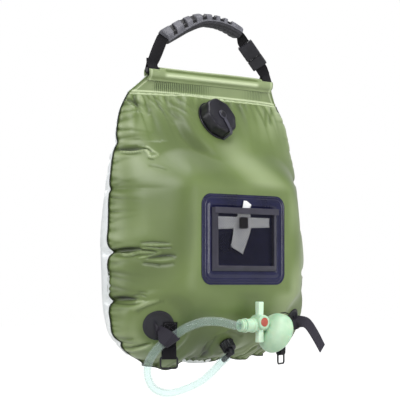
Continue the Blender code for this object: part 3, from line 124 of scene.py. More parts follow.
def axesAt(normal):
    # rows X, Y and Z: Z is the normal, Y leans upwards, X = Y x Z
    z = unit(normal)
    y = unit(upward - z * z[2])
    return np.array([np.cross(y, z), y, z])


def gridFaces(rows, columns, aroundRows=False, aroundColumns=False):
    # quads between neighbouring points, joined round to the first row or column if asked
    r = np.arange(rows if aroundRows else rows - 1)[:, None]
    c = np.arange(columns if aroundColumns else columns - 1)[None, :]
    nextR, nextC = (r + 1) % rows, (c + 1) % columns
    corners = [r * columns + c, nextR * columns + c, nextR * columns + nextC, r * columns + nextC]
    return np.stack(np.broadcast_arrays(*corners), -1).reshape(-1, 4).tolist()


def tubeFaces(rows, columns):
    # a closed tube: quads round every ring, and one face over each end
    ends = [list(range(columns)), list(range((rows - 1) * columns, rows * columns))]
    return gridFaces(rows, columns, aroundColumns=True) + ends


def sweep(path, sides, ups, section):
    # station + a * side + b * up, for each section point (a, b); a section may differ at each station
    section = np.asarray(section, float)
    if section.ndim == 2:
        section = section[None]
    return (np.asarray(path)[:, None] + section[:, :, :1] * np.asarray(sides)[:, None]
            + section[:, :, 1:2] * np.asarray(ups)[:, None])


def turned(profile, axes, origin, steps):
    # origin + r cos(a) X + r sin(a) Y + h Z, for each profile point (r, h) and angle a
    profile = np.asarray(profile, float)
    turn = circle(steps)
    ring = turn[:, :1] * axes[0] + turn[:, 1:] * axes[1]
    return np.asarray(origin) + profile[:, :1, None] * ring[None] + profile[:, 1:, None] * axes[2]


def roundedBand(halfWidth, halfThickness):
    # a flat section with half-round edges: one edge and one face, then the same turned half round
    flat = halfWidth - halfThickness
    edge = arc(-90, 90, 4) * halfThickness + (flat, 0)
    face = np.column_stack([np.linspace(1, -1, 7)[1:-1] * flat, np.full(5, halfThickness)])
    return np.vstack([edge, face, -edge, -face])


def addValues(mesh, name, values):
    # one number for each point, which a material reads
    layer = mesh.attributes.new(name, "FLOAT", "POINT")
    layer.data.foreach_set("value", np.asarray(values, np.float32).ravel())


def addPiece(name, points, faces, material, body, slot, replaces=(), uv=None, closed=True, angle=40, tint=None):
    # a mesh from arrays, merged and turned outwards if it is closed, riding on its body
    mesh = bpy.data.meshes.new(name)
    points = np.asarray(points, float).reshape(-1, 3)
    mesh.from_pydata(points.tolist(), [], [list(f) for f in faces])
    if uv is not None:
        corner = np.empty(len(mesh.loops), int)
        mesh.loops.foreach_get("vertex_index", corner)
        layer = mesh.uv_layers.new(name="cloth")
        layer.data.foreach_set("uv", np.asarray(uv, np.float32).reshape(-1, 2)[corner].ravel())
    if tint is not None:
        addValues(mesh, "tint", tint)
    if closed:
        work = bmesh.new()
        work.from_mesh(mesh)
        bmesh.ops.remove_doubles(work, verts=work.verts, dist=1e-6)
        bmesh.ops.recalc_face_normals(work, faces=work.faces)
        work.to_mesh(mesh)
        work.free()
    mesh.materials.append(material)
    mesh.shade_smooth()
    mesh.set_sharp_from_angle(angle=math.radians(angle))
    obj = bpy.data.objects.new(name, mesh)
    scene.collection.objects.link(obj)
    if body:
        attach(obj, body)
    if replaces:
        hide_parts(*replaces)
    return obj


def addTube(name, rings, *where, **looks):
    # a closed tube through the rings
    return addPiece(name, rings, tubeFaces(*np.shape(rings)[:2]), *where, **looks)


def addFilm(obj, thickness, offset=1.0):
    # the sheet's own thickness
    wall = obj.modifiers.new("Film", "SOLIDIFY")
    wall.thickness, wall.offset = thickness, offset
    return obj


def linear(hexColour):
    # sRGB hex to linear: c / 12.92 up to 0.04045, otherwise ((c + 0.055) / 1.055) ^ 2.4
    c = np.array([int(hexColour[k:k + 2], 16) for k in (1, 3, 5)]) / 255
    return (*np.where(c <= 0.04045, c / 12.92, ((c + 0.055) / 1.055) ** 2.4).tolist(), 1.0)


def addNode(tree, kind, values=None, links=None, stops=None, **settings):
    # one node, with its settings, socket values and incoming links; stops are a ramp's colours
    node = tree.nodes.new("ShaderNode" + kind)
    for key, value in settings.items():
        setattr(node, key, value)
    for key, value in (values or {}).items():
        node.inputs[key].default_value = value
    for key, socket in (links or {}).items():
        tree.links.new(socket, node.inputs[key])
    for index, (place, colour) in enumerate(stops or []):
        elements = node.color_ramp.elements
        element = elements[index] if index < 2 else elements.new(place)
        element.position, element.color = place, colour
    return node


def startMaterial(name, colour, roughness, **values):
    # a Principled shader with its own plain values
    material = bpy.data.materials.new(name)
    material.use_nodes = True
    shader = material.node_tree.nodes["Principled BSDF"]
    shader.inputs["Base Color"].default_value = linear(colour)
    shader.inputs["Roughness"].default_value = roughness
    for key, value in values.items():
        shader.inputs[key.replace("_", " ")].default_value = value
    return material, material.node_tree, shader


def mottled(tree, shader, dark, light, patch, grain, height, strength=0.5):
    # colour drifts between dark and light over patch metres; grain metres of noise give height metres of bump
    spot = addNode(tree, "TexCoord")
    drift = addNode(tree, "TexNoise", {"Scale": 1 / patch, "Detail": 3.0}, {"Vector": spot.outputs["Object"]})
    ramp = addNode(tree, "ValToRGB", None, {"Fac": drift.outputs["Fac"]},
                   stops=[(0.35, linear(dark)), (0.65, linear(light))])
    tree.links.new(ramp.outputs["Color"], shader.inputs["Base Color"])
    fine = addNode(tree, "TexNoise", {"Scale": 1 / grain, "Detail": 2.0}, {"Vector": spot.outputs["Object"]})
    bump = addNode(tree, "Bump", {"Strength": strength, "Distance": height}, {"Height": fine.outputs["Fac"]})
    tree.links.new(bump.outputs["Normal"], shader.inputs["Normal"])
    return spot, ramp, bump


def makeFinish(name, colour, roughness, dark, light, patch, grain, height, strength=0.5, **values):
    # a mottled material with nothing further of its own
    material, tree, shader = startMaterial(name, colour, roughness, **values)
    mottled(tree, shader, dark, light, patch, grain, height, strength)
    return material


# The camera, at the photograph's viewing angle, to the left of the front and a little below the pocket. Right and
# rise are how far its look is shifted from its turn, as shares of the distance
view = {"place": (-1.4776, -1.8912, -0.4393), "turn": 38.0, "right": -10.5 / 1445, "rise": 85 / 1445,
        "lens": 130.05, "sensor": 36.0, "near": 0.05, "far": 50.0}


def makeCamera():
    # its look is ahead + right * sideways + rise * up
    camera = bpy.data.objects.new("camera", bpy.data.cameras.new("camera"))
    scene.collection.objects.link(camera)
    turn = math.radians(view["turn"])
    ahead = np.array([math.sin(turn), math.cos(turn), 0.0])
    right = np.array([math.cos(turn), -math.sin(turn), 0.0])
    look = unit(ahead + view["right"] * right + np.array([0, 0, view["rise"]]))
    side = unit(np.cross(look, (0, 0, 1)))
    rows = np.array([side, np.cross(side, look), -look]).T
    camera.matrix_world = placed(rows, view["place"])
    camera.data.lens, camera.data.sensor_width = view["lens"], view["sensor"]
    camera.data.clip_start, camera.data.clip_end = view["near"], view["far"]
    scene.camera = camera


makeCamera()


# Clear plasticised PVC hose, extruded: walls seen edge-on gather into bright white lines, the middle stays clear
def makeClearHose():
    material, tree, shader = startMaterial("clearPvcHose", "#dfe9e8", 0.12, IOR=1.5, Coat_Weight=0.4)
    mottled(tree, shader, "#d3e0df", "#ecf3f1", 0.02, 0.004, 0.0002, 0.4)
    edge = addNode(tree, "LayerWeight", {"Blend": 0.5})
    wall = addNode(tree, "Math", {1: 4.0}, {0: edge.outputs["Facing"]}, operation="POWER")
    cover = addNode(tree, "Math", {1: 0.80, 2: 0.08}, {0: wall.outputs[0]}, operation="MULTIPLY_ADD")
    clear = addNode(tree, "BsdfTransparent", {"Color": linear("#f4f9f8")})
    both = addNode(tree, "MixShader", None, {0: cover.outputs[0], 1: clear.outputs[0], 2: shader.outputs["BSDF"]})
    tree.links.new(both.outputs[0], tree.nodes["Material Output"].inputs["Surface"])
    return material


hose = {
    "outer": 0.0070, "bore": 0.0052, "overBarb": 0.0120, "stations": 150, "sides": 24,
    "barb": (-0.30021, 0.69537, -0.65295), "across": (0.2, 0.9, 0.3),
    "route": (
        (-0.0104, -0.0454, -0.5621), (-0.0154, -0.0343, -0.5742), (-0.0212, -0.0258, -0.5842),
        (-0.0291, -0.0145, -0.5952), (-0.0401, -0.0046, -0.6034), (-0.0553, 0.0024, -0.6094),
        (-0.0758, 0.0050, -0.6138), (-0.0937, 0.0040, -0.6127), (-0.1163, -0.0010, -0.6044),
        (-0.1336, -0.0101, -0.5880), (-0.1418, -0.0196, -0.5681), (-0.1417, -0.0323, -0.5501),
        (-0.1328, -0.0456, -0.5325), (-0.1186, -0.0608, -0.5182), (-0.1068, -0.0714, -0.5076),
        (-0.0919, -0.0830, -0.4997), (-0.0771, -0.0923, -0.4964), (-0.0583, -0.1015, -0.4975),
        (-0.0450, -0.1064, -0.5008), (-0.0350, -0.1084, -0.5031), (-0.0273, -0.1088, -0.5035),
    ),
}


def makeHose():
    # a circle of the outer radius and one of the bore, carried along the route and joined at both ends; its sides
    # are square to the hose and to a direction that the hose never takes
    start = np.array(hose["route"][0]) - np.array(hose["barb"]) * hose["overBarb"]
    path, length = smoothPath([start, *hose["route"]], hose["stations"])
    ahead = unit(np.gradient(path, axis=0))
    sides = unit(np.cross(ahead, hose["across"]))
    ups = np.cross(sides, ahead)
    outer, inner = (sweep(path, sides, ups, circle(hose["sides"]) * hose[key]) for key in ("outer", "bore"))
    rings = np.concatenate([outer, inner[::-1]])
    faces = gridFaces(len(rings), hose["sides"], True, True)
    tube = addPiece("clearHose", rings, faces, makeClearHose(), "bag", "clear_hose", ("hose",))
    print("hose length", round(length, 3))


makeHose()
print("camera and hose")


# PVC-coated polyester taffeta, calendered and high-frequency welded: satin sheen and pale lines at the welds
# Its folds, pleats, hem and seam edge also carry painted highlight and painted shade in the base colour
def makeOliveFilm():
    material, tree, shader = startMaterial(
        "oliveCoatedTaffeta", "#62763f", 0.42, IOR=1.55, Sheen_Weight=0.2, Sheen_Roughness=0.4)
    spot, ramp, bump = mottled(tree, shader, "#5a6b38", "#677843", 0.12, 0.0016, 0.00004, 0.35)
    # tint towards 1 draws pale weld lines and painted highlight on ridges, fold crests and the hem; towards -1 it
    # draws painted shade in fold valleys and a painted shadow along the seam's edge
    weld = addNode(tree, "Attribute", attribute_name="tint")
    pale = addNode(tree, "Mix", {7: linear("#bfcba4")}, {0: weld.outputs["Fac"], 6: ramp.outputs["Color"]},
                   data_type="RGBA")
    # the mix towards #18220f is the painted shade in the folds and the painted shadow at the seam's edge
    under = addNode(tree, "Math", {1: -1.0}, {0: weld.outputs["Fac"]}, operation="MULTIPLY")
    deep = addNode(tree, "Mix", {7: linear("#18220f")}, {0: under.outputs[0], 6: pale.outputs[2]},
                   data_type="RGBA")
    # pleat is how strongly the web under the hem is gathered, in pleats 3.7 mm apart; a wave's bands are
    # pi / 10 / scale apart
    gather = addNode(tree, "Attribute", attribute_name="pleat")
    ribs = addNode(tree, "TexWave",
                   {"Scale": math.pi / 10 / 0.0037, "Distortion": 1.2, "Detail": 1.0, "Detail Scale": 0.4},
                   {"Vector": spot.outputs["Object"]}, bands_direction="X")
    ribs = addNode(tree, "Math", None, {0: ribs.outputs["Fac"], 1: gather.outputs["Fac"]}, operation="MULTIPLY")
    # the pleats' bands, mixed towards #33451f, are painted shade in the gathers
    shade = addNode(tree, "Mix", {7: linear("#33451f")}, {0: ribs.outputs[0], 6: deep.outputs[2]},
                    data_type="RGBA")
    tree.links.new(shade.outputs[2], shader.inputs["Base Color"])
    folded = addNode(tree, "Bump", {"Strength": 0.8, "Distance": -0.0012},
                     {"Height": ribs.outputs[0], "Normal": bump.outputs["Normal"]})
    # threads of 0.4 mm are too fine to show, so the weave is drawn at 1.2 mm and very shallow
    weave = addNode(tree, "TexWave", {"Scale": 1 / 0.0012 / 3.18, "Distortion": 1.0},
                    {"Vector": spot.outputs["Object"]}, bands_direction="Z")
    fine = addNode(tree, "Bump", {"Strength": 0.12, "Distance": 0.00003},
                   {"Height": weave.outputs["Fac"], "Normal": folded.outputs["Normal"]})
    tree.links.new(fine.outputs["Normal"], shader.inputs["Normal"])
    return material


oliveFilm = makeOliveFilm()
# Silver-grey coated back film: brighter, cooler, smoother
silverFilm = makeFinish("silverCoatedFilm", "#dfe3e4", 0.34, "#e0e4e5", "#f0f3f3", 0.10, 0.002, 0.00004, 0.3,
                        Metallic=0.12)

bag = {
    "weldZ": -0.1283, "bottomZ": -0.5673, "topZ": -0.1020, "bodyHalf": 0.188, "hemHalf": 0.1305, "gap": 0.0003,
    "film": 0.001, "seam": 0.0045, "setback": 0.017, "power": 2.6, "seatMargin": 0.012,
    "outline": ((0.0, 0.8085), (0.06, 0.885), (0.14, 0.925), (0.30, 0.985), (0.48, 1.01), (0.68, 1.0),
                (0.82, 0.985), (0.90, 0.94), (0.955, 0.82), (1.0, 0.65)),
    "front": {"bulge": 0.105, "side": -1, "shares": (
        (0.0, 0.0), (0.10, 0.33), (0.185, 0.55), (0.28, 0.76), (0.38, 0.90), (0.50, 0.975), (0.62, 1.0),
        (0.72, 0.98), (0.81, 0.89), (0.88, 0.74), (0.935, 0.52), (0.975, 0.27), (1.0, 0.0))},
    "back": {"bulge": 0.110, "side": 1, "shares": (
        (0.0, 0.0), (0.10, 0.22), (0.20, 0.45), (0.34, 0.74), (0.48, 0.93), (0.62, 1.0), (0.74, 0.97),
        (0.85, 0.80), (0.93, 0.52), (0.975, 0.27), (1.0, 0.0))},
}


def shareOf(z):
    # how far down from the weld to the bottom, 0 to 1
    return np.clip((bag["weldZ"] - z) / (bag["weldZ"] - bag["bottomZ"]), 0.0, 1.0)


def halfWidth(share):
    # the body's half width, times the outline's value at this share
    return bag["bodyHalf"] * sharesAt(bag["outline"], share)


def seamY(across, share):
    # where the films meet: flat at the weld, set back lower down and towards the shoulders
    settled = softStep(share / 0.25)
    return bag["setback"] * (settled + (1 - settled) * np.abs(across) ** 4)


def pillowY(x, z, film):
    # the seam's y, plus the bulge at this height times (1 - |x / half width| ^ power) ^ 0.5
    share = shareOf(z)
    across = np.clip(x / halfWidth(share), -1.0, 1.0)
    bulge = np.maximum(film["bulge"] * sharesAt(film["shares"], share), 0.0)
    crown = np.sqrt(np.clip(1 - np.abs(across) ** bag["power"], 0.0, 1.0))
    return seamY(across, share) + film["side"] * (bag["gap"] / 2 + bulge * crown)


def frontNormal(x, z):
    # the outward normal, from the slope of y over one film thickness to each side
    step = bag["film"]
    slopeX = (pillowY(x + step, z, bag["front"]) - pillowY(x - step, z, bag["front"])) / (2 * step)
    slopeZ = (pillowY(x, z + step, bag["front"]) - pillowY(x, z - step, bag["front"])) / (2 * step)
    return unit((float(slopeX), -1.0, float(slopeZ)))


def makeSeat(x, z, radius, standoff=0.0, yaw=0.0):
    # a flat round place on the front film: its inner point, its outer point and its normal. Standoff lifts it off
    # the film, and yaw turns it
    n = frontNormal(x, z)
    c, s = math.cos(yaw), math.sin(yaw)
    n = np.array([c * n[0] - s * n[1], s * n[0] + c * n[1], n[2]])
    inner = np.array([x, float(pillowY(x, z, bag["front"])) - standoff, z])
    return {"inner": inner, "outer": inner + n * (bag["film"] + bag["gap"]), "normal": n,
            "flat": radius + bag["seatMargin"], "blend": radius, "radius": radius}


seats = {
    "port": makeSeat(-0.018, -0.1708, 0.0345, 0.003, math.radians(10)),
    "outlet": makeSeat(-0.004, -0.5323, 0.0140),
    "left": makeSeat(-0.137, -0.5023, 0.0250, -0.004),
    "right": makeSeat(0.137, -0.5023, 0.0250, -0.004),
}
pocket = {"z": -0.3664, "halfWidth": 0.0862, "halfHeight": 0.0725, "corner": 0.0185, "margin": 0.004,
          "blend": 0.072}
pocket["y"] = float(pillowY(pocket["halfWidth"] / 2, pocket["z"], bag["front"]))


def beyondPocket(x, z):
    # distance outside the pocket's patch
    outX = np.maximum(np.abs(x) - pocket["halfWidth"] - pocket["margin"], 0.0)
    outZ = np.maximum(np.abs(z - pocket["z"]) - pocket["halfHeight"] - pocket["margin"], 0.0)
    return np.hypot(outX, outZ)


def settled(x, y, z, onPocket=True):
    # y moved onto each seat's plane and onto the pocket's, with a soft step over the blend
    for seat in seats.values():
        n, inner = seat["normal"], seat["inner"]
        plane = inner[1] - (n[0] * (x - inner[0]) + n[2] * (z - inner[2])) / n[1]
        reach = np.sqrt((x - inner[0]) ** 2 + (plane - inner[1]) ** 2 + (z - inner[2]) ** 2)
        y = y + (plane - y) * softStep((seat["flat"] + seat["blend"] - reach) / seat["blend"])
    return y if not onPocket else y + (pocket["y"] - y) * softStep(1 - beyondPocket(x, z) / pocket["blend"])


# Folds of the filled bag, in millimetres. A notch is (z, depth, width). A crease is (height, width, tone, its
# line of (x, z)), with a height above or below the film and a tone from painted shade at -1 to painted highlight
# at 1
folds = {
    "notches": {-1: ((-211, 5, 9), (-287, 3.2, 5), (-387, 11, 6), (-465, 8.5, 6), (-531, 7, 5)),
                1: ((-262, 3, 7), (-318, 7, 40), (-345, 2, 6), (-419, 7, 7), (-470, 5, 26), (-500, 8, 24))},
    "creases": (
        (-6, 5.0, -1.0, ((-178, -223), (-166, -223), (-155, -222), (-149, -224))),
        (-1.5, 1.6, -0.7, ((-151, -222), (-146, -224), (-142, -228))),
        (1.2, 1.5, 0.5, ((-157, -218), (-147, -221), (-139, -228), (-132, -233))),
        (2.6, 1.6, 0.65, ((-178, -227), (-169, -229), (-157, -226), (-151, -226), (-148, -230), (-147, -235),
                          (-144, -238), (-132, -233))),
        (-1.6, 2.0, -0.45, ((-177, -232), (-166, -232), (-156, -230))),
        (-1.2, 1.6, -0.45, ((-148, -240), (-141, -241))),
        (-1.2, 2, -0.2, ((-149, -252), (-139, -254), (-130, -259))),
        (-5.5, 4.0, -0.95, ((-183, -385), (-180, -384), (-172, -384), (-165, -383))),
        (-1.6, 1.3, -0.8, ((-166, -384), (-158, -385), (-148, -387))),
        (1.0, 1.4, 0.4, ((-167, -381), (-159, -382), (-151, -383), (-146, -386))),
        (2.4, 1.4, 0.6, ((-180, -389), (-181, -391), (-177, -392), (-167, -388), (-159, -388), (-150, -389))),
        (-1.2, 1.5, -0.5, ((-186, -394), (-179, -395), (-170, -392), (-160, -391), (-152, -390))),
        (1.6, 1.6, 0.45, ((-169, -397), (-158, -394), (-149, -391), (-145, -386))),
        (-1.6, 2.2, -0.5, ((-167, -373), (-156, -372), (-145, -373), (-135, -374))),
        (1.0, 1.5, 0.4, ((-166, -377), (-150, -377), (-131, -377))),
        (-1.6, 1.7, -0.55, ((-164, -379), (-149, -381), (-132, -380))),
        (-3.0, 3.2, -0.75, ((-158, -396), (-151, -394), (-142, -393), (-134, -393), (-127, -395))),
        (1.6, 2.4, 0.3, ((-158, -401), (-144, -402), (-130, -400))),
        (-2.2, 2.6, -0.4, ((-164, -405), (-155, -406), (-146, -408))),
        (-1.4, 3.0, -0.25, ((-149, -408), (-139, -407), (-129, -405))),
        (-5.0, 4.2, -1.0, ((-186, -461), (-180, -461), (-175, -462), (-170, -464))),
        (2.0, 1.5, 0.55, ((-179, -466), (-175, -466), (-166, -465), (-164, -463))),
        (-1.2, 1.6, -0.4, ((-181, -470), (-176, -470), (-169, -468))),
        (-1.3, 1.6, -0.35, ((-174, -456), (-168, -454), (-161, -458))),
        (-1.2, 1.6, -0.3, ((-169, -450), (-160, -451))),
        (2.0, 3.4, 0.3, ((-176, -476), (-168, -472), (-156, -467), (-145, -463))),
        (-1.6, 3.2, -0.35, ((-170, -481), (-160, -476), (-147, -470), (-136, -465))),
        (-4.0, 3.0, -0.75, ((-162, -539), (-157, -537), (-149, -534), (-139, -531))),
        (2.0, 2.0, 0.4, ((-157, -544), (-154, -541), (-146, -537), (-135, -533))),
        (-1.2, 2.2, -0.3, ((-176, -523), (-170, -524), (-167, -522))),
        (-3.5, 3.2, -0.6, ((-30, -565), (-22, -560), (-35, -546), (-39, -529))),
        (2.2, 1.9, 0.45, ((-25, -566), (-29, -552), (-35, -538), (-35, -523))),
        (-2.6, 2.6, -0.5, ((-13, -565), (-28, -548), (-31, -534), (-33, -519))),
        (1.8, 1.8, 0.35, ((-18, -563), (-13, -561), (-13, -556), (-21, -545))),
        (-3.0, 3.4, -0.6, ((5, -567), (11, -559), (-5, -543), (-13, -525))),
        (2.0, 2.2, 0.3, ((19, -565), (0, -550))),
        (2.4, 1.8, 0.45, ((66, -559), (63, -549), (66, -538))),
        (-3.4, 3.2, -0.65, ((72, -561), (70, -552), (75, -543), (76, -538))),
        (-2.4, 3.0, -0.4, ((-13, -514), (13, -520), (23, -521))),
        (-2.4, 3.0, -0.4, ((92, -552), (77, -540))),
        # fans of fine folds below the hem's left end, and the shoulder's swell
        (-2, 3.2, -0.2, ((-123, -138), (-108, -158), (-96, -181))),
        (-1.8, 3, -0.2, ((-111, -138), (-99, -158), (-84, -177))),
        (-1.6, 2.8, -0.15, ((-95, -139), (-83, -153), (-66, -167))),
        (-1.3, 2.8, -0.15, ((-76, -140), (-64, -150), (-51, -160))),
        (3.5, 13, 0.0, ((-158, -150), (-161, -180), (-163, -209))),
        (-4.5, 13, 0.0, ((-132, -149), (-132, -179), (-130, -212))),
        (-4.5, 6, -0.2, ((-159, -141), (-146, -148), (-131, -163))),
        # the mirrored kind at the right, out of the camera's sight
        (-4, 4.5, -0.4, ((182, -419), (172, -421), (158, -417))),
        (2, 2.4, 0.2, ((181, -424), (168, -426), (156, -424))),
        (-3, 4, -0.4, ((176, -262), (164, -264), (150, -260))),
        (-3, 4, -0.4, ((176, -498), (168, -497), (156, -493))),
        (-2.4, 4, -0.4, ((136, -139), (124, -152), (112, -168))),
        (-2, 3.2, -0.4, ((120, -138), (110, -152), (100, -172))),
        (3, 12, 0.2, ((158, -150), (162, -180), (166, -209))),
    ),
    # how far the bottom seam is raised, along x
    "bottom": ((-130, 3), (-115, 1), (-101, -1), (-80, -6), (-61, -2), (-49, 6), (-31, 4), (15, 5), (30, 8),
               (45, 13), (60, 8), (80, 6), (90, 7), (98, 12), (115, 11)),
    "bottomShare": 0.86, "clearOf": {"outlet": 0.018, "left": 0.024, "right": 0.024}, "clearFade": 0.020,
    # small folds drawn at random along each seam, over the reach that is given in metres
    "seed": {-1: 40, 1: 50},
    "puckers": {"reach": (-0.560, -0.135), "spacing": 10.5, "depth": (1.0, 2.6), "width": (1.6, 3.4),
                "length": (12, 30)},
    "topPuckers": {"reach": (-0.150, 0.150), "spacing": 9.0, "depth": (0.8, 2.2), "width": (1.8, 3.2),
                   "length": (16, 48)},
    "bottomPuckers": {"reach": (-0.125, 0.125), "spacing": 13.0, "depth": (1.4, 3.4), "width": (2.4, 4.6),
                      "length": (18, 42)},
}


def seamPull(z, side):
    # how far the side seam is drawn in: each notch is depth / (1 + (distance / width)^2)^1.4, less a wide swell to
    # both sides of it
    z = np.asarray(z, float) / mm
    pull = np.zeros_like(z)
    for at, depth, width in folds["notches"][side]:
        gap = np.abs(z - at)
        pull += depth / (1 + (gap / width) ** 2) ** 1.4 - 0.22 * depth * bell((gap - 3.2 * width) / (2.4 * width))
    fade = softStep((bag["weldZ"] / mm - z) / 20) * softStep((z - bag["bottomZ"] / mm) / 12)
    return pull * fade * mm


def puckers(along, inward, settings, seed):
    # narrow valleys square to a seam, each with a low ridge along one side, at drawn places:
    # -depth * bell(offset / width) * e^-(inward / length)^1.5
    draw = np.random.default_rng(seed)
    place, end = settings["reach"]
    total = np.zeros(along.shape)
    while place < end:
        depth, width, length = (draw.uniform(*settings[key]) for key in ("depth", "width", "length"))
        lean, sharp = draw.uniform(-0.25, 0.25), inward / (length * mm)
        offset = (along - place - lean * inward) / (width * mm)
        total += (0.45 * bell(offset / 2.2 - 1.4) - bell(offset)) * depth * mm * np.exp(-sharp ** 1.5)
        place += settings["spacing"] * mm * draw.uniform(0.55, 1.45)
    return total


def creases(points):
    # for each crease, height and tone (painted shade below 0, painted highlight above) times bell(distance to its
    # line / width), a little less at the line's start and tapered to nothing at its end
    total = np.zeros((2, *points.shape[:-1]))
    flat = points.reshape(-1, 3) * (1, 0, 1)
    out = total.reshape(2, -1)
    for height, width, tone, line in folds["creases"]:
        path, _ = smoothPath([(x * mm, 0.0, z * mm) for x, z in line], 20)
        low, high = path.min(0) - 4 * width * mm, path.max(0) + 4 * width * mm
        near = np.nonzero(((flat >= low) & (flat <= high)).all(1))[0]
        if not len(near):
            continue
        reach = np.linalg.norm(flat[near][:, None] - path[None], axis=2)
        nearest, share = reach.min(1), reach.argmin(1) / (len(path) - 1)
        taper = np.sqrt(np.clip(np.sin(np.pi * np.clip(0.2 + 0.8 * share, 0, 1)), 0, 1))
        out[:, near] += np.array([[height * mm], [tone]]) * bell(nearest / (width * mm)) * taper
    return total


def bottomLift(x, z):
    # the bottom seam's rise, full at the seam and gone at the starting share, and none beside a fitting
    lobes, start = folds["bottom"], folds["bottomShare"]
    rise = sharesAt(lobes, np.clip(x / mm, lobes[0][0], lobes[-1][0])) * mm
    for key, reach in folds["clearOf"].items():
        away = np.hypot(x - seats[key]["inner"][0], z - seats[key]["inner"][2])
        rise = rise * softStep((away - reach) / folds["clearFade"])
    return rise * softStep((shareOf(z) - start) / (1 - start)) ** 2


def spaced(count, zones):
    # 0 to 1 in steps that are smaller inside each zone (from, to, times)
    even = np.linspace(0, 1, 2000)
    density = 1 + sum((times - 1) * softStep((even - low) / 0.03 + 0.5) * softStep((high - even) / 0.03 + 0.5)
                      for low, high, times in zones)
    run = np.concatenate([[0.0], np.cumsum((density[1:] + density[:-1]) / 2)])
    return np.interp(np.linspace(0, run[-1], count), run, even)


def arcFrom(points, axis, end):
    # distance along the surface from one edge of the grid
    steps = np.linalg.norm(np.diff(points, axis=axis), axis=2)
    zero = np.zeros_like(np.take(steps, [0], axis=axis))
    run = np.concatenate([zero, np.cumsum(steps, axis=axis)], axis=axis)
    return run if end == 0 else np.take(run, [-1], axis=axis) - run


def gridNormals(points):
    # the slope down the rows times the slope along the columns, as a cross product
    return unit(np.cross(np.gradient(points, axis=0), np.gradient(points, axis=1)))


panel = {
    "columns": 146, "bodyRows": 290, "hemRows": 18, "nearRows": 8, "nearStep": 0.00065, "hemStop": 0.0058,
    "bodyStart": 0.0072, "pleatInset": 0.012, "seamFade": 0.007, "bottomFade": 0.006, "weldFade": 0.004,
    # how light each line is drawn: pale weld lines, painted highlight on the hem's end ridges and over the whole
    # hem, and the limit of the folds' painted shade and highlight
    "weldTint": 0.85, "endRidgeHighlight": 0.55, "hemHighlight": 0.2, "foldShadeLimit": 0.4, "foldHeight": 0.004,
    "columnZones": ((-0.1, 0.19, 2.4), (0.93, 1.1, 1.6)),
    "rowZones": ((0.20, 0.25, 1.6), (0.54, 0.64, 1.6), (0.73, 0.81, 1.4), (0.88, 1.1, 1.6)),
    # how far in from the side seam the notches reach, as a share of the half width, on the front and on the back,
    # where only the seam itself is drawn in, so that its outline stays round
    "notchReach": {-1: 0.45, 1: 0.10},
    "hemInset": 0.003, "hemCurve": 1.08, "swell": 0.0011,
    # where the folds start again beyond a fitting, and over what distance
    "pocketFade": (0.001, 0.018), "seatFade": (0.002, 0.014),
    # the double weld line and the ridge at the hem's ends: rise and half width
    "weldLine": (0.0011, 0.0013), "endRidge": (0.0008, 0.0016),
}


def fittingMask(points):
    # 0 on what is seated on the film, 1 away from it
    start, fade = panel["pocketFade"]
    mask = softStep((beyondPocket(points[..., 0], points[..., 2]) - start) / fade)
    start, fade = panel["seatFade"]
    for seat in seats.values():
        reach = np.linalg.norm(points - seat["inner"], axis=2)
        mask = mask * softStep((reach - seat["radius"] - start) / fade)
    return mask


def panelRows():
    # heights of the grid's rows: down the hem, close together above and below the weld, then down past the seam
    weld, step, near = bag["weldZ"], panel["nearStep"], panel["nearRows"]
    hemTop = np.linspace(bag["topZ"], weld + panel["hemStop"], panel["hemRows"] - near)
    below = weld - np.arange(near + 2) * step
    rest = weld + spaced(panel["bodyRows"], panel["rowZones"]) * (bag["bottomZ"] - weld)
    return np.concatenate([hemTop, weld + np.arange(near, 0, -1) * step, below,
                           rest[rest < weld - panel["bodyStart"]], [bag["bottomZ"] - bag["seam"]]])


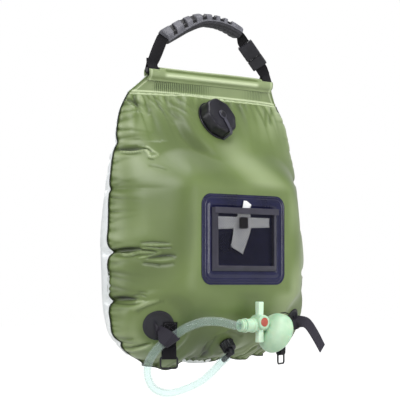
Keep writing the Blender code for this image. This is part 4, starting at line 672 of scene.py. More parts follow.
def makePanel(name, film, material, slot, node):
    # a grid of x = across * half width less the seam's pull, z down from the weld, y from the pillow
    side = film["side"]
    s = 2 * spaced(panel["columns"], panel["columnZones"]) - 1
    across = np.concatenate([[-1.0, -1.0], s, [1.0, 1.0]])
    hang = bag["seam"] * np.concatenate([[-1.0, -0.6], np.zeros(len(s)), [0.6, 1.0]])
    zRow = panelRows()
    share = shareOf(zRow)
    hemShare = np.clip((zRow - bag["weldZ"]) / (bag["topZ"] - bag["weldZ"]), 0, 1)
    width = halfWidth(share)
    # the hem narrows from the weld to the rod pocket in a soft curve
    width = width + (bag["hemHalf"] - panel["hemInset"] - width) * (1 - (1 - hemShare) ** panel["hemCurve"])
    x = across[None] * width[:, None] + hang[None]
    z = np.repeat(zRow[:, None], x.shape[1], axis=1)
    y = pillowY(across[None] * halfWidth(share)[:, None], z, film)
    if side < 0:
        y = settled(x, y, z)
    reach = panel["notchReach"][side]
    for sign in (-1, 1):
        edge = softStep((sign * across - 1 + reach) / reach) ** 2
        x = x - sign * (edge[None] * seamPull(zRow, sign)[:, None])
    if side < 0:
        # once more on the seats alone, now that the notches have moved the points sideways
        y = settled(x, y, z, onPocket=False)
    flatY = seamY(across[None], share[:, None]) * (1 - hemShare[:, None]) + side * bag["gap"] / 2
    edgeMask = np.ones(x.shape, bool)
    edgeMask[:, 3:-3] = False
    edgeMask[-2:] = True
    y = np.where(edgeMask | (zRow[:, None] > bag["weldZ"] - 1e-6), flatY, y)
    points = np.stack([x, y, z], -1)
    inBag = (zRow < bag["weldZ"] - 1e-6).astype(float)[:, None]

    normals = gridNormals(points)
    normals *= np.sign(np.sum(normals[..., 1] * side))
    body = points[panel["hemRows"]:]
    arcs = {}
    for key, axis, end in (("left", 1, 0), ("right", 1, -1), ("top", 0, 0), ("bottom", 0, -1)):
        arcs[key] = np.zeros(x.shape)
        arcs[key][panel["hemRows"]:] = arcFrom(body, axis, end)
    lift = np.zeros(x.shape)
    seams = [("left", "puckers", z), ("right", "puckers", z), ("top", "topPuckers", x),
             ("bottom", "bottomPuckers", x)]
    for number, (key, kind, along) in enumerate(seams):
        lift += puckers(along, arcs[key], folds[kind], folds["seed"][side] + number)
    for key, fade in (("left", "seamFade"), ("right", "seamFade"), ("bottom", "bottomFade")):
        lift *= softStep(arcs[key] / panel[fade])
    # slow swells of the tight film between the folds
    swells = np.sin(x / 0.031 + 1.3 * np.sin(z / 0.043)) * np.sin(z / 0.052 + 0.8 * np.sin(x / 0.06))
    lift += panel["swell"] * swells
    if side < 0:
        depth, tone = creases(points)
        lift += depth * softStep((np.minimum(arcs["left"], arcs["bottom"]) - 0.002) / panel["bottomFade"])
        lift *= fittingMask(points)
    lift *= inBag * softStep(arcs["top"] / panel["weldFade"])
    points = points + normals * lift[..., None]
    points[..., 2] += bottomLift(x, z)

    # the hem's web: fine pleats between the rod pocket and the double weld line, strong at the left as far as
    # x = 20 mm and weaker at the right from 60 mm on
    inHem = 1 - inBag
    seamShadowColumns = np.zeros(x.shape, bool)
    seamShadowColumns[:, [0, 1, -2, -1]] = seamShadowColumns[-1] = True
    rise = (z - bag["weldZ"]) / (bag["topZ"] - bag["weldZ"])
    pleatZone = softStep((0.02 - x) / 0.06) + 0.55 * softStep((x - 0.06) / 0.03)
    pleat = pleatZone * np.sin(math.pi * np.clip(rise, 0, 1))
    pleat = pleat * softStep((bag["hemHalf"] - panel["pleatInset"] - np.abs(x)) / 0.01)
    (weldRise, weldHalf), (ridgeRise, ridgeHalf) = panel["weldLine"], panel["endRidge"]
    above = z - bag["weldZ"]
    weldLine = np.maximum(bell((above - 0.0024) / weldHalf), bell((above + 0.0020) / weldHalf))
    edgeRidge = bell((np.abs(x) - width[:, None] + 0.004) / ridgeHalf) * inHem
    points[..., 1] += side * (weldRise * weldLine + ridgeRise * edgeRidge)
    # the tint: pale weld lines, and painted highlight on the hem's end ridges and over the whole hem
    tint = np.clip(panel["weldTint"] * weldLine + panel["endRidgeHighlight"] * edgeRidge + panel["hemHighlight"] * inHem, 0, 1)
    if side < 0:
        # painted shade in the folds' valleys and painted highlight on their crests; a painted shadow along the
        # seam's edge
        most = panel["foldShadeLimit"]
        fold = np.clip((lift - depth) / panel["foldHeight"], -most, most) * inBag
        tint = tint + fold + np.clip(tone, -1, 0.8)
        tint = np.where(seamShadowColumns, -1.0 * inBag, tint)
    faces = gridFaces(*x.shape)
    if side > 0:
        faces = [f[::-1] for f in faces]
    obj = addPiece(name, points, faces, material, "bag", slot, (node,), closed=False, angle=60, tint=tint)
    addValues(obj.data, "pleat", pleat * inHem)
    return addFilm(obj, bag["film"])


frontPanel = makePanel("frontFilm", bag["front"], oliveFilm, "green_film", "front_panel")
makePanel("backFilm", bag["back"], silverFilm, "silver_film", "back_panel")
print("panels", len(frontPanel.data.vertices))


def joined(pieces):
    # several (points, faces) made one mesh, each face list moved on by the points before it
    points, faces, start = [], [], 0
    for some, theirs in pieces:
        some = np.asarray(some, float).reshape(-1, 3)
        points.append(some)
        faces += [[index + start for index in face] for face in theirs]
        start += len(some)
    return np.vstack(points), faces


def turnedPiece(name, profile, axes, origin, material, body, slot, replaces=(), steps=72, ring=False, lobes=None):
    # a turned profile, closed by merging its points on the axis; ring joins its last point to its first.
    # lobes = (count, depth as a share of the radius, the radius where they start, the radius where they are full)
    points = turned(profile, axes, origin, steps)
    if lobes:
        count, depth, low, high = lobes
        around = np.linspace(0.0, 2 * math.pi, steps, endpoint=False)
        radius = np.asarray(profile, float)[:, :1]
        wave = (0.5 - 0.5 * np.cos(count * around))[None] * softStep((radius - low) / (high - low)) * depth
        outward = points - np.asarray(origin) - np.asarray(profile)[:, 1:, None] * axes[2]
        points = points - outward * wave[..., None]
    faces = gridFaces(len(profile), steps, aroundRows=ring, aroundColumns=True)
    return addPiece(name, points, faces, material, body, slot, replaces)


def roundedLoop(halfWidth, halfHeight, corner, steps=7):
    # a rounded rectangle, anticlockwise from its right side
    centres = np.array([(1, 1), (-1, 1), (-1, -1), (1, -1)]) * (halfWidth - corner, halfHeight - corner)
    a = math.pi / 2 * (np.arange(4)[:, None] + np.linspace(0, 1, steps)[None])
    return (centres[:, None] + corner * np.stack([np.cos(a), np.sin(a)], -1)).reshape(-1, 2)


def addBand(name, points, sides, count, size, material, body, slot, replaces=(), skew=(1.0, 0.0)):
    # webbing: a flat section, size its half width and half thickness, carried through the points, or at count even
    # stations on a smooth path through them. sides is one width vector, or one for each point. Its UV is metres
    # across and along. skew is how wide it is and how far it leans back along the path, as shares of its width
    path, sides = np.asarray(points, float), np.broadcast_to(sides, np.shape(points))
    if count:
        path, sides, _ = smoothPath(path, count, sides)
    ahead = unit(np.gradient(path, axis=0))
    sides = squareTo(sides, ahead)
    section = roundedBand(*size)
    rings = sweep(path, sides * skew[0] - ahead * skew[1], np.cross(sides, ahead), section)
    uv = np.stack(np.broadcast_arrays(section[None, :, 0], runAlong(path)[:, None]), -1)
    return addTube(name, rings, material, body, slot, replaces, uv=uv)


thread = {"length": 0.0024, "pitch": 0.0036, "width": 0.0007, "height": 0.00035}


def addStitches(name, body, boxes):
    # round each box (four corners and a normal) and over its diagonals: raised threads, one every pitch, sunk a
    # little into the cloth
    block = np.array([(-1, -1, -0.5), (1, -1, -0.5), (1, 1, -0.5), (-1, 1, -0.5),
                      (-0.7, -0.5, 1), (0.7, -0.5, 1), (0.7, 0.5, 1), (-0.7, 0.5, 1)])
    block = block * (thread["length"] / 2, thread["width"] / 2, thread["height"])
    quads = [(3, 2, 1, 0), (4, 5, 6, 7), (0, 1, 5, 4), (1, 2, 6, 5), (2, 3, 7, 6), (3, 0, 4, 7)]
    pieces = []
    for corners, normal in boxes:
        for i, j in ((0, 1), (1, 2), (2, 3), (3, 0), (0, 2), (1, 3)):
            start, way = np.asarray(corners[i], float), np.subtract(corners[j], corners[i])
            count = max(2, round(np.linalg.norm(way) / thread["pitch"]))
            along = unit(way)
            basis = np.array([along, np.cross(normal, along), normal])
            centres = start + way * ((np.arange(count) + 0.5) / count)[:, None]
            faces = (np.arange(count)[:, None, None] * 8 + np.array(quads)[None]).reshape(-1, 4).tolist()
            pieces.append((centres[:, None] + (block @ basis)[None], faces))
    points, faces = joined(pieces)
    addPiece(name, points, faces, blackThread, body, "black_webbing")


# Polypropylene webbing, woven in 1.3 mm ribs with two flat edges: matt black that greys on its crowns
def makeWebbing(name, dark, light):
    material, tree, shader = startMaterial(
        name, dark, 0.8, Sheen_Weight=0.04, Specular_IOR_Level=0.25)
    cloth = addNode(tree, "UVMap", uv_map="cloth")
    ribs = addNode(tree, "TexWave", {"Scale": 0.314 / 0.0013, "Distortion": 0.6, "Detail": 1.0},
                   {"Vector": cloth.outputs["UV"]}, bands_direction="Y")
    cords = addNode(tree, "TexWave", {"Scale": 0.314 / 0.0021, "Distortion": 0.3},
                    {"Vector": cloth.outputs["UV"]}, bands_direction="X")
    weave = addNode(tree, "Math", None, {0: ribs.outputs["Fac"], 1: cords.outputs["Fac"]}, operation="MULTIPLY")
    ramp = addNode(tree, "ValToRGB", None, {"Fac": weave.outputs[0]},
                   stops=[(0.0, linear(dark)), (0.8, linear(light))])
    bump = addNode(tree, "Bump", {"Strength": 0.6, "Distance": 0.00025}, {"Height": weave.outputs[0]})
    tree.links.new(ramp.outputs["Color"], shader.inputs["Base Color"])
    tree.links.new(bump.outputs["Normal"], shader.inputs["Normal"])
    return material


webbing = makeWebbing("polypropyleneWebbing", "#0c0b0e", "#1a181d")
greyWebbing = makeWebbing("softNylonWebbing", "#25232b", "#3d3a44")
# Injection-moulded acetal, lightly textured tool: black with soft grey highlights
blackPlastic = makeFinish("mouldedAcetal", "#121117", 0.34, "#17161c", "#222128", 0.02, 0.0009, 0.00005, 0.4,
                          IOR=1.46)
# Polyester sewing thread, slightly glossier than the webbing it is sewn into
blackThread = makeFinish("polyesterThread", "#2b2a30", 0.5, "#26252a", "#36343b", 0.01, 0.0004, 0.00005,
                         Sheen_Weight=0.2)

hem = {
    "half": 0.1305, "wall": 0.0008, "lip": -0.0905, "notch": (-0.1087, 0.1077), "columns": 170,
    "channelHalf": 0.102, "ridgeX": 0.1262, "ripple": 0.00025, "ridge": 0.0007, "wander": 0.0003,
    # (z, half height, tone): painted highlight on the top fold and on the channel's crest, painted shade in its
    # groove
    "paintedTones": ((-0.0874, 0.0010, 0.55), (-0.0990, 0.0032, 0.75), (-0.0912, 0.0016, -0.45)),
    "hemRidgeHighlight": 0.5, "sleeveHighlight": 0.22,
    # (z, y of the welded channel, y of the plain tube at its ends), from the top down one side, in millimetres
    "profile": (
        (-85.8, 0.0, 0.0), (-85.9, 2.4, 1.4), (-86.2, 4.3, 2.6), (-86.7, 5.6, 3.6), (-87.3, 6.2, 4.5),
        (-88.0, 6.2, 5.3), (-88.7, 5.7, 5.9), (-89.6, 5.3, 6.6), (-90.5, 5.2, 7.1), (-91.5, 5.2, 7.5),
        (-92.5, 5.5, 7.8), (-93.6, 6.1, 8.0), (-94.8, 6.9, 8.0), (-96.0, 7.6, 8.0), (-97.5, 8.1, 7.9),
        (-99.0, 8.2, 7.7), (-100.5, 7.9, 7.3), (-101.8, 7.2, 6.7), (-103.0, 6.0, 5.8), (-104.0, 4.6, 4.6),
        (-105.0, 3.4, 3.4), (-106.2, 2.6, 2.6), (-107.4, 2.2, 2.2), (-108.6, 2.1, 2.1),
    ),
}


def makeHem():
    # one film folded over the rod: front tail, channel and ridge, over the top and down the back, with the lip
    # left open outside both notches
    table = np.array(hem["profile"]) * mm
    down = table[:, :1]
    x = np.unique(np.concatenate([np.linspace(-hem["half"], hem["half"], hem["columns"]), hem["notch"]]))
    plain = 1 - softStep((hem["channelHalf"] - np.abs(x)) / 0.010)
    depth = table[:, 1:2] * (1 - plain) + table[:, 2:] * plain
    # fine ripples low on the sleeve, and a ridge near each end
    ripple = hem["ripple"] * np.sin(x / 0.0046 + 2.1 * np.sin(x / 0.019)) * softStep(-(down + 0.0935) / 0.004)
    ridge = hem["ridge"] * bell((np.abs(x) - hem["ridgeX"]) / 0.0014) * softStep(-(down + 0.0905) / 0.002)
    depth = depth + (ripple + ridge) * (depth > 0.0024)
    z = np.repeat(down, len(x), axis=1)
    z = z + hem["wander"] * np.sin(x / 0.027) * softStep((z + 0.093) / 0.004)
    front = np.stack([np.broadcast_to(x, z.shape), -depth, z], -1)
    points = np.vstack([front[:0:-1] * (1, -1, 1), front])
    faces = np.array(gridFaces(*points.shape[:2]))
    middle = points.reshape(-1, 3)[faces].mean(1)
    outside = (middle[:, 0] < hem["notch"][0]) | (middle[:, 0] > hem["notch"][1])
    open_ = (middle[:, 2] > hem["lip"] - 1e-4) & outside
    # painted highlight and shade along the sleeve, painted highlight on the end ridges, and the whole sleeve drawn
    # lighter as painted highlight
    tone = sum(most * bell((down - at) / half) for at, half, most in hem["paintedTones"]) * (1 - plain)
    tone = tone + hem["hemRidgeHighlight"] * bell((np.abs(x) - hem["ridgeX"]) / 0.0016)
    tint = np.clip(np.vstack([tone[:0:-1], tone]) + hem["sleeveHighlight"], -1, 1)
    piece = addPiece("hemSleeve", points, faces[~open_].tolist(), oliveFilm, "bag", "green_film", ("hem_sleeve",),
                     closed=False, angle=60, tint=tint)
    addFilm(piece, hem["wall"], -1.0)


makeHem()

grip = {
    "spine": ((-0.0965, -0.0378), (-0.0760, -0.0258), (-0.0520, -0.0125), (-0.0260, -0.0020), (0.0, 0.0008),
              (0.0240, -0.0014), (0.0440, -0.0068), (0.0605, -0.0138)),
    "rollShares": (0, 0.3, 0.55, 1), "roll": (42.0, 26.0, 13.0, 7.0), "lift": 0.0030, "crown": 1.48, "sole": 1.85,
    "stations": 220, "slots": (0.12, 0.27, 0.395, 0.525, 0.645, 0.745, 0.84), "slotHalf": 0.0043,
    "slotDepth": 0.0029, "slotLean": 0.35, "slotFloor": 0.0014, "slotBack": 0.0108, "bumps": (0.56, 0.97, 6),
    "bump": 0.0017, "endShare": 0.90,
    # (across, up) in millimetres, from the front lip over the top to the back lip
    "cover": (
        (-12.9, -1.1), (-13.0, -0.2), (-12.8, 0.7), (-12.2, 1.1), (-11.7, 1.5), (-11.4, 2.4), (-10.9, 3.6),
        (-10.0, 4.8), (-8.6, 5.6), (-6.6, 6.1), (-4.0, 6.4), (-2.0, 6.5), (0.0, 6.5), (2.0, 6.5), (4.0, 6.5),
        (6.4, 6.4), (8.6, 5.9), (10.0, 5.1), (10.9, 3.8), (11.5, 2.4), (11.8, 1.5), (12.3, 1.1), (12.8, 0.7),
        (13.0, -0.2), (12.9, -1.1), (10.4, -1.15), (10.35, 1.25), (-10.35, 1.25), (-10.4, -1.15),
    ),
    # the pad's right half and its middle; its left half mirrors it
    "pad": (
        (12.2, -1.5), (12.4, -2.3), (12.0, -3.1), (11.0, -3.7), (10.6, -4.4), (9.4, -5.4), (7.4, -6.2),
        (4.0, -6.5), (0.0, -6.5),
    ),
}


def gripAxes(count):
    # stations on the grip's middle line, with the unit vectors across it and out of its top, rolled by degrees
    path, length = smoothPath([(x, 0.0, z + grip["lift"]) for x, z in grip["spine"]], count)
    ahead = unit(np.gradient(path, axis=0))
    out = np.cross(ahead, backward)
    roll = np.radians(np.interp(np.linspace(0, 1, count), grip["rollShares"], grip["roll"]))[:, None]
    cos, sin = np.cos(roll), np.sin(roll)
    return path, backward * cos + out * sin, out * cos - backward * sin, length


# Thermoplastic rubber, moulded: mid grey, satin, with painted shade on the slots' floors and in the pad's groove
def makeGripRubber(name, dark, light, recessShadeColour):
    material, tree, shader = startMaterial(name, light, 0.5)
    _, ramp, _ = mottled(tree, shader, dark, light, 0.015, 0.0007, 0.00008, 0.5)
    deep = addNode(tree, "Attribute", attribute_name="tint")
    paintedShadeMix = addNode(tree, "Mix", {7: linear(recessShadeColour)}, {0: deep.outputs["Fac"], 6: ramp.outputs["Color"]},
                      data_type="RGBA")
    tree.links.new(paintedShadeMix.outputs[2], shader.inputs["Base Color"])
    return material


def makeGrip():
    # the cover's section, made taller by crown and pressed in at each slot; the pad's, made deeper by sole, with
    # finger bumps |sin| ^ 0.5 along its underside
    count = grip["stations"]
    path, across, out, length = gripAxes(count)
    share = np.linspace(0, 1, count)
    cover = np.array(grip["cover"]) * mm
    a, b = cover[None, :, 0], cover[None, :, 1]
    centres = np.array(grip["slots"])
    # a slot is where the distance to its leaning middle line is less than its half width, on the cover's top
    lean = -(a + 0.002) * grip["slotLean"] / length
    away = np.abs(share[:, None] + lean - centres[:, None, None]).min(0) * length
    slot = softStep((grip["slotHalf"] + 0.0004 - away) / 0.0008)
    slot = slot * (b > grip["slotFloor"]) * softStep((grip["slotBack"] - a) / 0.0020)
    ends = softStep(np.minimum(share, 1 - share) * length / 0.003)[:, None]
    swell = grip["endShare"] + (1 - grip["endShare"]) * ends
    # each slot is pressed in towards the section's middle
    press = 1 - slot * grip["slotDepth"] / np.maximum(np.hypot(a, b), 0.004)
    section = np.stack([a * press, np.where(b > 0.0013, b * swell * grip["crown"] * press, b)], -1)
    rings = sweep(path, across, out, section)
    # 131215 is the painted shade on the slots' floors
    rubber = makeGripRubber("greyGripRubber", "#55555b", "#696970", "#131215")
    addTube("gripCover", rings, rubber, "handle", "grey_rubber", ("grip_cover",), angle=32, tint=slot)
    half = np.array(grip["pad"]) * mm
    pad = np.vstack([half, half[-2::-1] * (-1, 1)])
    a, b = pad[None, :, 0], pad[None, :, 1]
    first, last, bumps = grip["bumps"]
    place = (share - first) / (last - first)
    wave = np.sqrt(np.abs(np.sin(math.pi * np.clip(place, 0, 1) * bumps)))[:, None] - 0.4
    wave = wave * ((place > 0) & (place < 1))[:, None] * softStep(-(b + 0.0036) / 0.002)
    under = np.where(b < -0.002, b * swell * grip["sole"], b) - wave * grip["bump"]
    section = np.stack([a * np.ones_like(wave), under], -1)
    rings = sweep(path, across, out, section)
    # 141317 is the painted shade along the groove in the pad's side
    dark = makeGripRubber("darkGripRubber", "#222127", "#2e2d34", "#141317")
    groove = bell((b + 0.0037) / 0.0005) * np.ones_like(wave)
    addTube("gripPad", rings, dark, "handle", "dark_rubber", ("grip_pad",), angle=32, tint=groove)


makeGrip()

handle = {
    "rodZ": -0.0911, "loop": 0.0053, "beside": 0.0012, "tail": 0.0190, "leftX": -0.1205, "rightX": 0.1195,
    "half": 0.0100, "thick": 0.0009, "top": (0.0735, 0.0, -0.0290), "along": (0.69786, 0.0, -0.71623),
    "roll": 40.0, "buckle": 0.0500, "tailMiddle": 0.0147, "slack": 0.0003,
    # the stitched box on each tail: above the rod from and to, and its half width
    "stitched": (0.0098, 0.0165, 0.0078),
}


def loopStations(x):
    # tail behind the rod, round under it, and up in front, as points
    r, beside = handle["loop"], handle["beside"]
    rows = [(beside, handle["tail"]), (beside, handle["tailMiddle"]), (beside, 2 * r), *(r * arc(20, -200, 16)),
            (-beside, 2 * r)]
    return np.array([(x, y, handle["rodZ"] + z) for y, z in rows])


def turnedWidths(first, last, count):
    # width vectors that turn evenly from one to the other
    t = np.linspace(0, 1, count)[:, None]
    return unit(np.asarray(first) * (1 - t) + np.asarray(last) * t)


def makeHandleWebbing():
    # left loop, rise, through the grip and down to the buckle; then the short piece from the plug to the right
    # loop; top and along are where the buckle starts and the way it points
    path, across, _, _ = gripAxes(24)
    along, top, size = np.array(handle["along"]), np.array(handle["top"]), (handle["half"], handle["thick"])
    roll = math.radians(handle["roll"])
    facing = -backward * math.cos(roll) + np.array((along[2], 0.0, -along[0])) * math.sin(roll)
    buckleSide = np.cross(facing, along)
    left = loopStations(handle["leftX"])
    lead = 4 * handle["thick"]
    entry = path[0] - unit(path[1] - path[0]) * lead
    leave = path[-1] + unit(path[-1] - path[-2]) * lead
    arrive = top - along * handle["slack"]
    rise = left[-1] + (entry - left[-1]) * np.array((0.2, 0.4, 0.6, 0.8, 1.0))[:, None]
    fall = leave + (arrive - along * lead - leave) * np.array((0.0, 0.35, 0.7, 1.0))[:, None]
    centres = np.vstack([left, rise, path, fall, arrive])
    widths = np.vstack([np.tile(rightward, (len(left), 1)), turnedWidths(rightward, -across[0], 6)[1:], -across,
                        -across[-1:], turnedWidths(-across[-1], buckleSide, 5)[1:]])
    addBand("handleWebbing", centres, widths, 260, size, webbing, "handle", "black_webbing", ("handle_webbing",))
    foot = top + along * (handle["buckle"] + handle["slack"])
    right = loopStations(handle["rightX"])[::-1]
    straight = foot + along * lead
    run = straight + (right[0] - straight) * np.array((0.0, 0.33, 0.66))[:, None]
    centres = np.vstack([foot, run, right])
    widths = np.vstack([turnedWidths(buckleSide, rightward, 5)[:-1], np.tile(rightward, (len(right), 1))])
    addBand("anchorWebbing", centres, widths, 110, size, webbing, "handle", "black_webbing", ("anchor_webbing",))
    y = handle["beside"] + handle["thick"]
    low, high, reach = handle["stitched"]
    low, high = handle["rodZ"] + low, handle["rodZ"] + high
    addStitches("loopStitches", "handle", [
        ([(x - reach, y, low), (x + reach, y, low), (x + reach, y, high), (x - reach, y, high)], backward)
        for x in (handle["leftX"], handle["rightX"])])


makeHandleWebbing()
print("hem and handle")

port = {
    "bore": 0.0200, "neck": 0.0225, "neckTop": 0.0139, "flange": 0.0345, "capLow": 0.0030, "capTop": 0.0210,
    "ringLow": 0.0213, "ringTop": 0.0229, "headLow": 0.0232, "ceiling": 0.0160, "angle": -81.0,
    "lobes": (8, 0.055, 0.0245, 0.0305), "strap": (0.0036, 0.0008), "strapRadius": 0.0356,
}


def makePort():
    # turned on the port's normal: flange with a rolled rim and neck, lobed cap, button and tether ring, from which
    # a strap leads to the rim
    seat = seats["port"]
    axes, origin, n = axesAt(seat["normal"]), seat["outer"], seat["normal"]
    r, top, low = port["flange"], port["capTop"], port["capLow"]
    turnedPiece("fillFlange", [
        (port["bore"], port["neckTop"]), (0.0222, port["neckTop"]), (port["neck"], 0.0134), (port["neck"], 0.0032),
        (0.0230, 0.0025), (0.0310, 0.0024), (0.0328, 0.0027), (0.0338, 0.0026), (r - 0.0002, 0.0020), (r, 0.0012),
        (r - 0.0003, 0.0), (port["bore"], 0.0)], axes, origin, blackPlastic, "bag", "black_plastic",
        ("fill_flange",), steps=96, ring=True)
    turnedPiece("fillCap", [
        (0.0048, top), (0.0150, top), (0.0262, top), (0.0270, top + 0.0004), (0.0286, top + 0.0004), (0.0300, top),
        (0.0314, top - 0.0010), (0.0322, top - 0.0026), (0.0325, top - 0.0050), (0.0326, low + 0.0060),
        (0.0330, low + 0.0040), (0.0330, low + 0.0012), (0.0325, low), (0.0297, low), (0.0297, port["ceiling"]),
        (0.0260, port["ceiling"]), (0.0048, port["ceiling"])], axes, origin, blackPlastic, "cap", "black_plastic",
        ("fill_cap",), steps=192, ring=True, lobes=port["lobes"])
    h = port["headLow"]
    turnedPiece("capButton", [
        (0.0, h + 0.0016), (0.0030, h + 0.0015), (0.0050, h + 0.0011), (0.0060, h + 0.0005), (0.0062, h + 0.0001),
        (0.0058, h), (0.0045, h), (0.0045, port["ceiling"] - 0.0003), (0.0062, port["ceiling"] - 0.0003),
        (0.0055, port["ceiling"] - 0.0017), (0.0, port["ceiling"] - 0.0017)], axes, origin, blackPlastic, "cap",
        "black_plastic", ("cap_button",))
    loop = roundedLoop(0.0016, 0.0008, 0.0007, 4)[::-1] + (0.0064, (port["ringLow"] + port["ringTop"]) / 2)
    turnedPiece("tetherRing", loop, axes, origin, tetherPlastic, "cap_carrier", "black_plastic",
                ("cap_tether_ring",), ring=True)
    # the strap: out over the cap, round its edge and down to the flange
    a = math.radians(port["angle"])
    outward = math.cos(a) * axes[0] + math.sin(a) * axes[1]
    rim, thick = port["strapRadius"], port["strap"][1]
    level = port["ringLow"] + thick
    steps = [(0.0083, level), (0.014, level + 0.0003), (0.022, level + 0.0002), (0.0290, level + 0.0001),
             (0.0325, level - 0.0006), (0.0347, level - 0.0026), (rim, level - 0.0058), (rim, 0.0120),
             (rim, 0.0060), (rim, thick)]
    strap = addBand("tetherStrap", [origin + outward * x + n * z for x, z in steps], np.cross(n, outward), 60,
                    port["strap"], tetherPlastic, None, "black_plastic", ("cap_tether_strap",))
    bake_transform(strap)


# Soft polyethylene, moulded thin: a lavender-grey lighter than the moulded black all over, partly its own colour
# and partly painted highlight for where it bends over the rim
tetherPlastic = makeFinish("softPolyethylene", "#3a3942", 0.36, "#34333c", "#4c4b57", 0.012, 0.0008, 0.00004)
makePort()
print("fill port")


# PVC sheet, welded: dark navy, glossy, softly rippled so that highlights break up
def makeNavyVinyl():
    material, tree, shader = startMaterial("glossyPvcSheet", "#17182f", 0.20, IOR=1.5)
    spot, _, bump = mottled(tree, shader, "#15162f", "#1d1e3e", 0.05, 0.0025, 0.00014, 0.6)
    swell = addNode(tree, "TexNoise", {"Scale": 1 / 0.022, "Detail": 1.0}, {"Vector": spot.outputs["Object"]})
    wide = addNode(tree, "Bump", {"Strength": 0.5, "Distance": 0.0016},
                   {"Height": swell.outputs["Fac"], "Normal": bump.outputs["Normal"]})
    tree.links.new(wide.outputs["Normal"], shader.inputs["Normal"])
    return material


navyVinyl = makeNavyVinyl()
# Warp-knitted polyester net, dull black
netYarn = makeFinish("knittedPolyesterNet", "#101017", 0.8, "#13131b", "#1f1f29", 0.004, 0.0005, 0.00005,
                     Specular_IOR_Level=0.2)
# Spun-bonded white cloth of tags and stiffeners: matt, faintly fibrous
paleCloth = makeFinish("spunBondedCloth", "#e2e3e6", 0.8, "#d8d9de", "#eceded", 0.012, 0.0006, 0.00008)
# Folded binding tape sewn round the net: thinner and smoother than webbing, with a violet cast
tapeCloth = makeFinish("polyesterBindingTape", "#2b2a38", 0.55, "#242330", "#33313f", 0.03, 0.0006, 0.0001, 0.6,
                       Sheen_Weight=0.15)

pouch = {
    "front": pocket["y"] - 0.0013,
    # (inset from the edge, height) of the welded patch, in millimetres
    "weld": ((0.0, 0.0), (0.0, 0.45), (0.5, 0.7), (1.6, 0.75), (2.6, 0.35), (3.4, 0.35), (4.4, 1.15), (5.4, 1.2),
             (6.4, 0.55), (7.2, 0.6), (8.2, 1.0), (9.2, 0.8), (10.6, 0.7), (12.4, 1.0), (14.4, 1.5), (16.4, 1.9),
             (18.0, 1.7), (19.2, 0.9), (20.0, 0.7), (30.0, 0.7), (40.0, 0.7), (60.0, 0.7)),
    "frame": (0.0664, 0.0505), "tape": 0.0085, "rise": 0.0062, "netLevel": 0.0066, "pitch": 0.0032,
    "strand": (0.00045, 0.00025), "strandGap": 0.00022, "tuck": 0.0006, "bow": 0.0010, "netBow": 0.0012,
    "mouth": (0.0050, 0.0006), "mouthDrop": 0.0046,
    "closure": {"x": -0.0075, "z": -0.3395, "half": (0.0086, 0.0090), "corner": 0.0012},
}


def onPouch(x, z, h):
    # a point at x and z, h in front of the patch's plane
    x, z, h = np.broadcast_arrays(np.asarray(x, float), z, h)
    return np.stack([x, pouch["front"] - h, z], -1)


